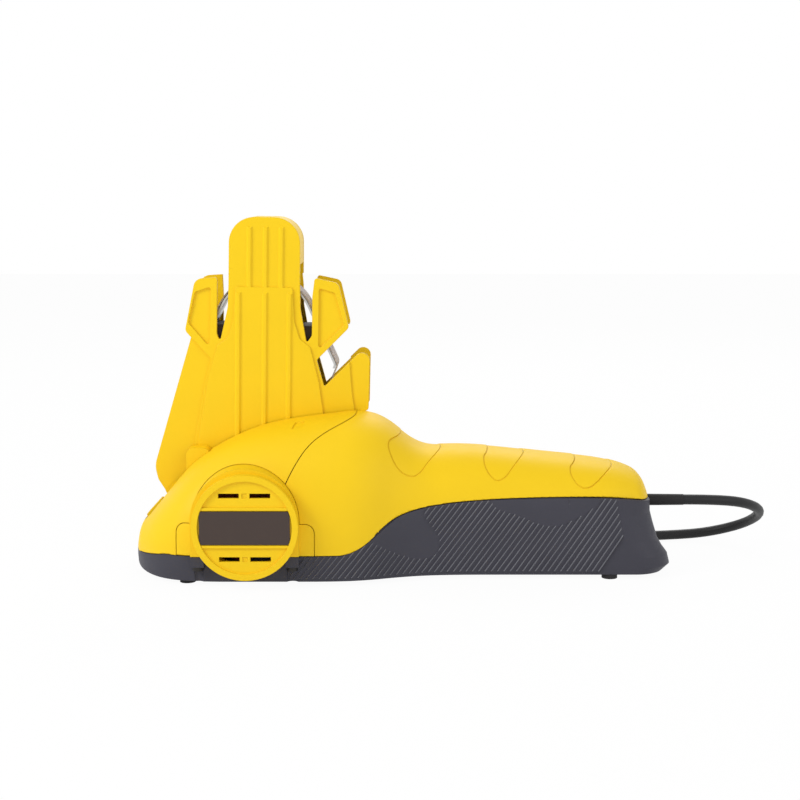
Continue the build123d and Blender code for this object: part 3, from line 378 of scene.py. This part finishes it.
# %% Helper: a smooth curve through points
def curve_through(xs, ys):
    """Natural cubic through points, as a function of x."""
    xs, ys = np.asarray(xs, float), np.asarray(ys, float)
    gap = np.diff(xs)
    count = len(xs)
    grid = np.eye(count)
    right = np.zeros(count)
    for i in range(1, count - 1):
        grid[i, i - 1:i + 2] = gap[i - 1], 2 * (gap[i - 1] + gap[i]), gap[i]
        right[i] = 6 * ((ys[i + 1] - ys[i]) / gap[i] - (ys[i] - ys[i - 1]) / gap[i - 1])
    bend = np.linalg.solve(grid, right)

    def value(x):
        x = np.asarray(x, float)
        i = np.clip(np.searchsorted(xs, x) - 1, 0, count - 2)
        h = gap[i]
        a, b = (xs[i + 1] - x) / h, (x - xs[i]) / h
        return (a * ys[i] + b * ys[i + 1]
                + ((a ** 3 - a) * bend[i] + (b ** 3 - b) * bend[i + 1]) * h ** 2 / 6)
    return value


# %% Underside, crest, half width and turn, each as a function of the place along the body
swell, swell_x, swell_reach = 0.5, -27.0, 8.0  # the crest's swell: its height, place and reach
tall = stations[:, 2] - stations[:, 1]
turns = np.clip(stations[:, 4], stations[:, 1] + 0.3 * tall, stations[:, 2] - 0.2 * tall)
under_at = curve_through(stations[:, 0], stations[:, 1])
plain_crest = curve_through(stations[:, 0], stations[:, 2])


def crest_at(x):
    """Height of the crest, with the faint swell that closes on the guide's far wing."""
    return plain_crest(x) + swell * np.exp(-((np.asarray(x, float) - swell_x) / swell_reach) ** 2)


half_at = curve_through(stations[:, 0], stations[:, 3])
turn_at = curve_through(stations[:, 0], turns)
print("crest over the motor", round(float(crest_at(-84.7)), 1), "mm")

# %% The line between the grey base and the yellow covers, and the seam between the covers
split_left = [(-160.0, 12.0), (-146.0, 13.6), (-130.0, 16.4)]
split_rise = [(-34.0, 16.8), (-21.0, 22.0), (-7.4, 33.9), (6.9, 39.9), (28.0, 43.3), (63.0, 45.6),
              (100.0, 46.1), (126.0, 44.8), (142.0, 41.6)]
seam_points = [(54.0, -64.5), (61.2, -61.0), (69.6, -56.0), (76.6, -50.0), (83.0, -40.0),
               (88.4, -28.0), (96.0, -14.0)]      # height first, then the place along the body
left_curve = curve_through(*zip(*split_left))
rise_curve = curve_through(*zip(*split_rise))
seam_curve = curve_through(*zip(*seam_points))


def split_at(x):
    """Height of the grey and yellow line."""
    x = np.asarray(x, float)
    (x0, z0), (x1, z1) = split_left[-1], split_rise[0]
    level = z0 + np.clip((x - x0) / (x1 - x0), 0, 1) * (z1 - z0)
    return np.where(x < x0, left_curve(np.minimum(x, x0)),
                    np.where(x > x1, rise_curve(np.maximum(x, x1)), level))


def seam_at(z):
    """Where along the body the covers' seam lies, at a height."""
    z = np.asarray(z, float)
    lowest, highest = seam_points[0][0], seam_points[-1][0]
    return np.where(z < lowest, seam_points[0][1], seam_curve(np.clip(z, lowest, highest)))


print("seam at the crest", round(float(seam_at(88.0)), 1), "mm")

# %% [markdown]
# ## Mains cord
# The cord leaves its sleeve at the handle's end, drops to the table in one soft curve, runs behind the
# handle, and is wound up there as for storage.  One smooth spline follows it all: a route of a few points,
# then the coil's turns, then the way to the plug.  The turns lie side by side and on each other, one
# diameter apart: the inner ones climb, one lies in the groove on top, and the outer ones lead down again.

# %% The coil's turns, as points of the cord's own line
cord_across = 5.8
cord_way = [(160.6, 3.0, 38.8), (181.0, 3.0, 38.8), (201.0, 12.4, 34.6), (213.5, 31.5, 25.2),
            (208.6, 53.4, 13.4), (188.2, 65.2, 5.0), (165.0, 66.6, 2.95), (139.0, 63.6, 2.9),
            (113.0, 59.6, 2.9), (87.0, 57.1, 2.9)]
plug_way = [(33.6, 107.5, 6.4), (26.0, 124.0, 5.6), (12.0, 136.0, 8.6), (-6.0, 141.0, 8.6)]
coil_middle = (66.0, 89.5)
inner_turn, outer_turn = 26.6, 32.4                           # radii
layer = [cord_across / 2 + cord_across * i for i in range(4)]
top_turn = (29.5, layer[3] + 5.1)
levels = [(outer_turn, layer[0]), (inner_turn, layer[0]), (inner_turn, layer[1]),
          (inner_turn, layer[2]), (inner_turn, layer[3]), top_turn,
          (outer_turn, layer[3]), (outer_turn, layer[2]), (outer_turn, layer[1])]
per_turn = 15
level_part, climb_part = 0.72, 0.28                           # of each turn
drawn_in = 0.75 + 0.25 * math.cos(2 * math.pi / per_turn)     # a smooth spline runs inside its points
coil_way = []
for step in range((len(levels) - 1) * per_turn + per_turn // 4 + 1):
    turn, part = divmod(step / per_turn, 1.0)
    here, after = levels[int(turn)], levels[min(int(turn) + 1, len(levels) - 1)]
    blend = max(0.0, (part - level_part) / climb_part)
    blend = blend * blend * (3 - 2 * blend)
    radius = here[0] + (after[0] - here[0]) * blend
    height = here[1] + (after[1] - here[1]) * blend
    angle = math.radians(-90 - 360 * step / per_turn)
    coil_way.append((coil_middle[0] + radius / drawn_in * math.cos(angle),
                     coil_middle[1] + radius / drawn_in * math.sin(angle), height))

# %% The cord as one thick spline
cord_curve = bpy.data.curves.new("mains_cord", "CURVE")
cord_curve.dimensions = "3D"
cord_curve.bevel_depth = cord_across / 2 * MM
cord_curve.bevel_resolution = 5
cord_curve.resolution_u = 5
cord_curve.use_fill_caps = True
line = cord_curve.splines.new("NURBS")
way = cord_way + coil_way + plug_way
line.points.add(len(way) - 1)
for point, (x, y, z) in zip(line.points, way):
    point.co = (x * MM, y * MM, z * MM, 1.0)
line.order_u = 3
line.use_endpoint_u = True
cord = bpy.data.objects.new("mains_cord", cord_curve)
scene.collection.objects.link(cord)
cord_curve.materials.append(sheath)
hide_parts("cord_tube", "cord_coil", "cord_tail")
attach(cord, "machine")
print("cord length", round(line.calc_length(), 3), "m from", len(way), "points")

# %% [markdown]
# ## A closer skin for the yellow covers
# The engineering shells have the right form, but the finger scallops are only a third of a millimetre deep,
# and such a step needs its own crisp edge.  So the covers get a thin skin, half a millimetre proud of them,
# from which the scallops, the seam and the gaps round the inserts are cut.  In the seam and the gaps the
# shell below shows; the scallops get floors of their own.  The skin is a fine grid: columns stand across the
# body, rows run from the grey line on one side, over the crest, to the other side.

# %% Helpers: one section of the body
def arch(x, low):
    """Points (y, z) of the section at x from a low level up to the crest, on the +Y side."""
    under, crest = float(under_at(x)), float(crest_at(x))
    half, turn = float(half_at(x)), float(turn_at(x))
    foot = half - wall_lean
    wall = np.linspace(min(low, turn), turn, 24)
    side = np.column_stack([foot + (half - foot) * (wall - under) / (turn - under), wall])
    sweep = np.linspace(0.0, 1.0, 160)[1:] * math.pi / 2
    round_part = np.column_stack([half * np.cos(sweep) ** (2 / squareness),
                                  turn + (crest - turn) * np.sin(sweep) ** (2 / squareness)])
    path = np.vstack([side, round_part])
    return path[path[:, 1] >= low - 1e-6] if low > turn else path


def evenly(path, count):
    """The same path with evenly spaced points."""
    run = np.concatenate([[0.0], np.cumsum(np.linalg.norm(np.diff(path, axis=0), axis=1))])
    at = np.linspace(0.0, run[-1], count)
    return np.column_stack([np.interp(at, run, path[:, i]) for i in range(path.shape[1])])


# %% Helpers: a mesh over many sections, its normals, wall and shading
def grid_object(name, points, paint, body="machine"):
    """Mesh from a grid of points (columns, rows, 3) in mm."""
    columns, rows, _ = points.shape
    index = np.arange(columns * rows).reshape(columns, rows)
    faces = np.stack([index[:-1, :-1], index[1:, :-1], index[1:, 1:], index[:-1, 1:]], -1).reshape(-1, 4)
    mesh = bpy.data.meshes.new(name)
    mesh.from_pydata((points.reshape(-1, 3) * MM).tolist(), [], faces.tolist())
    mesh.materials.append(paint)
    made = bpy.data.objects.new(name, mesh)
    scene.collection.objects.link(made)
    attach(made, body)
    return made


def grid_normals(points):
    """Outward unit normals of a grid whose rows go from -Y over the top to +Y."""
    along = np.gradient(points, axis=0)
    across = np.gradient(points, axis=1)
    normal = np.cross(along, across)
    return normal / np.linalg.norm(normal, axis=2, keepdims=True)


def give_wall(piece, thickness):
    """Make a sheet solid, with its thickness in mm on the inner side."""
    wall = piece.modifiers.new("wall", "SOLIDIFY")
    wall.thickness = thickness * MM
    wall.offset = -1.0


def shade_smooth(mesh, degrees):
    """Shade a mesh smooth, and leave edges sharp that bend by more than an angle."""
    mesh.polygons.foreach_set("use_smooth", [True] * len(mesh.polygons))
    mesh.set_sharp_from_angle(angle=math.radians(degrees))


# %% The yellow skin's grid
proud = 0.5                                    # above the covers
above_split = 0.4                              # where the skin starts, above the grey line
sink_left, sink_right, sink_over, deepest = -149.6, 138.6, 3.0, -0.6      # how its ends dip into the covers
head_columns = np.arange(-149.4, -12.0, 1.0)
handle_columns = np.arange(-12.0, 137.9, 0.8)
columns = np.concatenate([head_columns, handle_columns, [138.2]])
half_rows = 70
sheet_points = np.zeros((len(columns), 2 * half_rows - 1, 3))
for i, x in enumerate(columns):
    far = evenly(arch(x, float(split_at(x)) + above_split), half_rows)
    near = far * [-1, 1]
    both = np.vstack([near, far[-2::-1]])
    sheet_points[i, :, 0] = x
    sheet_points[i, :, 1:] = both
    sheet_points[i, :, 1] += middle
lift = (proud * np.clip((columns - sink_left) / sink_over, deepest, 1.0)
        * np.clip((sink_right - columns) / sink_over, deepest, 1.0))
sheet_points += grid_normals(sheet_points) * lift[:, None, None]
yellow_skin = grid_object("yellow_skin", sheet_points, yellow)
print("yellow skin", len(yellow_skin.data.vertices), "points, crest", round(sheet_points[:, :, 2].max(), 1))

# %% [markdown]
# ## Cutting the skin
# Each cut is a prism: an outline seen from the side, pushed through the body from front to back.  A boolean
# with closed meshes is exact and quick, and it leaves the crisp edge that a step in a moulding tool makes.
# The skin is first given a thickness, so that its cut edges are real walls.

# %% Helpers: outlines with soft or round corners
def between(a, b, c, d, t):
    """Point at share t of the way from b to c, on a soft curve that comes from a and goes on to d."""
    return 0.5 * (2 * b + (c - a) * t + (2 * a - 5 * b + 4 * c - d) * t ** 2
                  + (3 * b - a - 3 * c + d) * t ** 3)


def smooth_closed(points, count=10):
    """Closed outline through points, with a soft curve between them."""
    ring = np.array(points, float)
    before, after, beyond = np.roll(ring, 1, 0), np.roll(ring, -1, 0), np.roll(ring, -2, 0)
    parts = [between(before, ring, after, beyond, t) for t in np.linspace(0, 1, count, endpoint=False)]
    return np.stack(parts, 1).reshape(-1, 2)


def smooth_open(points, count=6):
    """Open outline through points, with a soft curve between them; its first and last point stay."""
    ring = np.array(points, float)
    padded = np.vstack([2 * ring[0] - ring[1], ring, 2 * ring[-1] - ring[-2]])
    parts = [between(*padded[i - 1:i + 3], t)
             for i in range(1, len(ring)) for t in np.linspace(0, 1, count, endpoint=False)]
    return np.vstack([parts, ring[-1:]])


def drawn_by(points, amount):
    """An open outline moved sideways, to its left where amount is positive."""
    step = np.gradient(points, axis=0)
    left = np.column_stack([-step[:, 1], step[:, 0]]) / np.linalg.norm(step, axis=1, keepdims=True)
    return points + left * amount


def round_box(left, right, low, high, radius, count=8):
    """Outline of a box with round corners."""
    points = []
    for cx, cz, start in ((right - radius, high - radius, 0), (left + radius, high - radius, 90),
                          (left + radius, low + radius, 180), (right - radius, low + radius, 270)):
        for i in range(count + 1):
            angle = math.radians(start + 90 * i / count)
            points.append((cx + radius * math.cos(angle), cz + radius * math.sin(angle)))
    return np.array(points)


# %% Helpers: prisms, and cutting with them
def prism(points, near, far):
    """Closed mesh object: an outline (x, z) between two depths, in mm."""
    form = bmesh.new()
    near_ring = [form.verts.new((x * MM, near * MM, z * MM)) for x, z in points]
    far_ring = [form.verts.new((x * MM, far * MM, z * MM)) for x, z in points]
    form.faces.new(near_ring)
    form.faces.new(far_ring[::-1])
    for i in range(len(points)):
        j = (i + 1) % len(points)
        form.faces.new((near_ring[j], near_ring[i], far_ring[i], far_ring[j]))
    bmesh.ops.triangulate(form, faces=[f for f in form.faces if len(f.verts) > 4])
    bmesh.ops.recalc_face_normals(form, faces=form.faces)
    mesh = bpy.data.meshes.new("cutter")
    form.to_mesh(mesh)
    form.free()
    made = bpy.data.objects.new("cutter", mesh)
    scene.collection.objects.link(made)
    return made


def cut(piece, cutters, operation="DIFFERENCE"):
    """Cut closed forms out of a piece, or keep what is in them; apply that and delete the cutters."""
    for cutter in cutters:
        step = piece.modifiers.new("cut", "BOOLEAN")
        step.operation = operation
        step.solver = "MANIFOLD"
        step.object = cutter
    bpy.context.view_layer.update()
    ready = piece.evaluated_get(bpy.context.evaluated_depsgraph_get())
    result = bpy.data.meshes.new_from_object(ready)
    piece.modifiers.clear()
    piece.data = result
    for cutter in cutters:
        bpy.data.objects.remove(cutter)
    shade_smooth(result, 32)


# %% [markdown]
# ## Scallops, seam and inserts
# Three scallops run over the handle like the prints of fingers: each is a rounded V on the side and a band
# over the crest.  The seam between head and handle runs from the motor's arch up to the crest.  Round the
# arch, its ears, the lock lever and the switch the skin stops a little short, as a fitted part leaves a line.
# The guide's well stays open, and a small window near the crest is a pocket in the skin.

# %% Outlines of the three scallops
above_all = 120.0                              # so an outline is open towards the top
scallops = [
    [(0.8, above_all), (0.4, 79.2), (-3.0, 78.4), (-6.4, 77.6), (-8.0, 76.0), (-7.6, 72.2), (-4.4, 65.0),
     (-0.3, 60.1), (5.3, 57.7), (9.7, 59.4), (13.8, 63.7), (18.3, 67.5), (22.0, 69.8), (25.8, 71.8),
     (27.5, 74.0), (28.2, above_all)],
    [(48.8, above_all), (48.4, 70.0), (46.8, 68.4), (45.3, 66.8), (45.4, 63.3), (47.6, 58.7), (52.0, 55.0),
     (56.8, 56.7), (61.7, 61.8), (66.6, 65.8), (69.8, 67.2), (73.6, 68.4), (76.0, 70.2), (76.8, above_all)],
    [(98.8, above_all), (98.4, 65.2), (95.8, 63.2), (93.3, 61.2), (93.2, 58.5), (94.2, 56.0), (97.0, 52.4),
     (100.6, 50.8), (104.1, 51.5), (107.6, 53.7), (110.9, 56.2), (114.6, 58.7), (118.4, 60.5), (121.8, 62.4),
     (123.4, 65.0), (124.0, above_all)]]
rims = [np.vstack([points[:1], smooth_open(points[1:-1]), points[-1:]]) for points in scallops]
print("scallops", len(rims), "with", [len(rim) for rim in rims], "points")

# %% The seam, a band that gets finer towards the crest
heights = np.linspace(50.0, 96.0, 60)
seam_line = np.column_stack([seam_at(heights), heights])
half_seam = np.interp(heights, [50.0, 75.0, 96.0], [0.26, 0.18, 0.14])[:, None]
seam_band = np.vstack([drawn_by(seam_line, -half_seam), drawn_by(seam_line, half_seam)[::-1]])
print("seam", round(2 * float(half_seam[0, 0]), 2), "to", round(2 * float(half_seam[-1, 0]), 2), "mm wide")

# %% Outlines round the motor's arch, its ears, the guide's well, the lock lever and the switch
arch_x, arch_z, arch_radius, arch_gap, arch_foot = -85.5, 36.4, 29.4, 0.22, 5.0
sweep = np.radians(np.linspace(-20, 200, 61))
reach = arch_radius + arch_gap
round_top = np.column_stack([arch_x + reach * np.cos(sweep), arch_z + reach * np.sin(sweep)])
motor_arch = np.vstack([round_top, [(arch_x - reach, arch_foot), (arch_x + reach, arch_foot)]])
arch_ears = round_box(-123.55, -47.65, 0.0, 34.95, 5.3)
guide_well = round_box(-131.0, -24.0, 40.0, 140.0, 0.8)
lock_slot = round_box(-126.0, -108.7, 52.0, 110.0, 1.0)
switch_x, switch_z, switch_tilt = -140.6, 34.4, math.radians(-48.0)
half_long, half_high, half_deep = 8.7, 12.0, 6.2
corners = [(-half_long, -half_high), (half_long, -half_high), (half_long, half_high), (-half_long, half_high)]
switch_hole = [(switch_x + u * math.cos(switch_tilt) + v * math.sin(switch_tilt),
                switch_z - u * math.sin(switch_tilt) + v * math.cos(switch_tilt)) for u, v in corners]
print("gap round the arch", arch_gap, "mm")

# %% Cut the yellow skin: each outline goes through it between two depths
whole_depth, near_side, near_half = (-60.0, 60.0), (-60.0, -20.0), (-60.0, 8.0)
well_depths, lock_depths = (8.5, 80.0), (-1.4, 8.6)
cutters = [prism(rim, *whole_depth) for rim in rims]
cutters += [prism(seam_band, *near_half), prism(motor_arch, *near_side), prism(arch_ears, *near_side),
            prism(guide_well, *well_depths), prism(lock_slot, *lock_depths),
            prism(switch_hole, middle - half_deep, middle + half_deep)]

# the window near the crest is drawn from above, so its prism is turned upright
window_heights = (78.0, 92.0)
window = prism([(-61.5, 16.3), (-59.8, 7.4), (-54.9, 7.8), (-55.4, 15.2)], *window_heights)
window.data.transform(Matrix.Rotation(math.radians(90), 4, "X"))
cutters.append(window)
give_wall(yellow_skin, 0.9)
cut(yellow_skin, cutters)
print("yellow skin after its cuts", len(yellow_skin.data.polygons), "faces")

# %% [markdown]
# ## Floors of the scallops
# Each scallop gets its own floor, a third of a millimetre below the skin and about as far away from it all
# round.  That fine line between floor and rim is what the eye reads as the scallop's edge.

# %% The three floors, from the same grid
floor_lift, floor_gap = 0.16, 0.38             # above the covers, and inside the rims
handle = columns > -14.0
floor_points = sheet_points[handle] - grid_normals(sheet_points[handle]) * (proud - floor_lift)
scallop_floors = grid_object("scallop_floors", floor_points, yellow)
give_wall(scallop_floors, 0.5)
keepers = [prism(drawn_by(rim, floor_gap), *whole_depth) for rim in rims]
with bpy.context.temp_override(active_object=keepers[0], selected_editable_objects=keepers):
    bpy.ops.object.join()
cut(scallop_floors, keepers[:1], "INTERSECT")
print("scallop floors", len(scallop_floors.data.polygons), "faces")

# %% [markdown]
# ## Ribbed grip of the base
# The grey side is moulded with slanted ribs like the teeth of a fine saw: each rises over a short steep face
# that looks forward, then falls off slowly.  The grid's columns run along the ribs, so every edge stays a
# clean line.  Two smooth islands interrupt them, where a thumb and a palm would lie.  At its borders the
# pattern sinks into the plain side, and so needs no edge of its own.  The steep faces get a paler grey
# material: a painted highlight for the light that they catch from the upper left. Hands and the tool polish
# the steep
# faces, so those have a paler finish of their own.

# %% Helpers: the plain side of the base, and what lies inside an outline
end_start, end_corner = 92.0, 17.0             # where the cord end's block starts, and its corner radius
end_heights = [2.6, 6.5, 12.0, 16.0, 21.0, 30.0, 36.0, 48.0]
end_reach = [146.5, 150.6, 149.2, 146.2, 143.4, 140.6, 139.0, 138.6]
end_half = [30.4, 30.8, 31.0, 31.0, 31.0, 31.0, 31.0, 31.0]


def side_at(x, z):
    """Half width of the base's side at a place along it and a height."""
    under, turn, half, crest = under_at(x), turn_at(x), half_at(x), crest_at(x)
    straight = half - wall_lean + wall_lean * (z - under) / (turn - under)
    rise = np.clip((z - turn) / (crest - turn), 0.0, 0.999) ** (squareness / 2)
    rounded_part = half * np.maximum(1 - rise ** 2, 1e-6) ** (1 / squareness)
    body = np.where(z < turn, straight, rounded_part)
    block = np.interp(z, end_heights, end_half)
    into_corner = np.clip(x - (np.interp(z, end_heights, end_reach) - end_corner), 0.0, end_corner)
    block -= end_corner - np.sqrt(end_corner ** 2 - into_corner ** 2)
    return np.where(x > end_start, np.where(into_corner > 0, block, np.maximum(body, block)), body)


def inside(x, z, outline_points):
    """How far inside an outline a point lies, in mm; negative outside."""
    ring = np.array(outline_points, float)
    following = np.roll(ring, -1, 0)
    nearest = np.full(x.shape, 1e9)
    crossings = np.zeros(x.shape, int)
    for (ax, az), (bx, bz) in zip(ring, following):
        length = (bx - ax) ** 2 + (bz - az) ** 2
        t = np.clip(((x - ax) * (bx - ax) + (z - az) * (bz - az)) / length, 0, 1)
        nearest = np.minimum(nearest, np.hypot(x - ax - t * (bx - ax), z - az - t * (bz - az)))
        spans = (az > z) != (bz > z)
        with np.errstate(divide="ignore", invalid="ignore"):
            crossings += spans & (x < ax + (z - az) * (bx - ax) / (bz - az))
    return np.where(crossings % 2 == 1, nearest, -nearest)


# %% The ribs' lines, from their feet along the base up to the yellow covers
rib_pitch, rib_height, rib_steep = 3.5, 0.75, 0.16            # rib_steep is a share of the pitch
ribs_left, ribs_right = -62.0, 126.5
run_up, run_out, furthest_top = 30, 10, 8      # feet before and behind these, and how far a rib may lean out
thumb_island = smooth_closed([(-17.3, 23.0), (-7.4, 17.9), (6.9, 12.2), (17.4, 13.9), (20.5, 22.1),
                              (13.8, 32.9), (8.0, 44.0), (-6.0, 40.0), (-16.0, 28.0)])
palm_island = smooth_closed([(49.8, 42.1), (63.6, 35.9), (82.0, 29.9), (98.8, 36.1), (108.0, 45.0),
                             (104.0, 56.0), (76.0, 58.0), (48.0, 56.0)])
shares = np.array([0.0, rib_steep * 0.5, rib_steep, 0.3, 0.5, 0.7, 0.9])
tooth = np.interp(shares, [0.0, rib_steep, 1.0], [0.0, 1.0, 0.0])
number = int((ribs_right + run_out + run_up - ribs_left) / rib_pitch)
foot_x = (ribs_left - run_up + rib_pitch * (np.arange(number)[:, None] + shares)).ravel()
tooth_height = np.tile(tooth, number)
slant = np.radians(np.interp(foot_x, [ribs_left, ribs_right], [50.0, 58.0]))
rows = np.linspace(0.0, 1.0, 62)
base_level, top_gap = 3.4, 0.15                # where the ribs start, and how far below the yellow they end
rounds = 6                                     # a rib leans, so where it meets the yellow is found in rounds
x_grid = np.zeros((len(foot_x), len(rows)))
z_grid = np.zeros_like(x_grid)
for i, (x0, angle) in enumerate(zip(foot_x, slant)):
    x = np.full(len(rows), x0)
    for _ in range(rounds):
        top = split_at(np.clip(x, -150.0, 138.0)) - top_gap
        z = base_level + rows * (top - base_level)
        x = x0 + (z - base_level) / math.tan(angle)
    x_grid[i], z_grid[i] = x, z
keep = x_grid.max(1) < ribs_right + furthest_top
x_grid, z_grid, tooth_height = x_grid[keep], z_grid[keep], tooth_height[keep]
print("rib lines", len(x_grid), "from x", round(x_grid.min(), 1), "to", round(x_grid.max(), 1), "mm")

# %% How far each point stands out, and both ribbed sides
island_level = 0.75                            # of a rib's height
least_relief, sunk = 0.12, 0.45                # at a rib's foot, and behind the plain side at the borders
end_x, end_z, end_lean = 119.1, 40.4, 0.197    # the slanted line where the ribs end
border_width, low_border_width = 1.2, 0.8
island_rim = 0.7                               # over which the ribs turn into an island
plain = np.maximum(inside(x_grid, z_grid, thumb_island), inside(x_grid, z_grid, palm_island))
calm = np.clip(plain / island_rim + 0.5, 0, 1)     # 1 on the islands, 0 among the ribs
end_slant = end_x + (end_z - z_grid) * end_lean
left_edge = np.clip((x_grid - ribs_left) / border_width, -1, 1)
right_edge = np.clip((end_slant - x_grid) / border_width, -1, 1)
low_edge = np.clip((z_grid - base_level) / low_border_width - 0.4, -1, 1)
border = np.minimum(np.minimum(left_edge, right_edge), low_edge)
relief = least_relief + rib_height * (tooth_height[:, None] * (1 - calm) + island_level * calm)
relief = np.where(border > 0, relief * border, sunk * border)
side_y = side_at(x_grid, z_grid) + relief
# steep faces among the ribs, away from the islands and borders, get the paler grey as a painted highlight
steep = np.tile(shares < rib_steep - 1e-6, number)[keep][:, None]
painted_highlight_faces = (steep & (calm < 0.5) & (border > 0.6))[:-1, :-1]
for hand, label in ((-1, "near"), (1, "far")):
    points = np.stack([x_grid, middle + hand * side_y, z_grid], -1)[::-1, ::hand]
    ribs = grid_object("base_ribs_" + label, points, grey)
    ribs.data.materials.append(rib_highlight_grey)
    ribs.data.polygons.foreach_set("material_index", painted_highlight_faces[::-1, ::hand].astype(np.int32).ravel())
    give_wall(ribs, 0.6)
    shade_smooth(ribs.data, 28)
    print(ribs.name, len(ribs.data.polygons), "faces, proud by", round(float(relief.max()), 2), "mm")

# %% [markdown]
# ## Last look at the size
# The visual model may stand a little outside the CAD model. Both boxes are kept, so that they
# can be compared.

# %% Boxes and finish
visual_box = [list(corner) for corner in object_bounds()]
for axis in range(3):
    spans = [box[1][axis] - box[0][axis] for box in (cad_box, visual_box)]
    print("xyz"[axis], "CAD", round(spans[0] * 1000, 1), "mm, visual", round(spans[1] * 1000, 1), "mm")
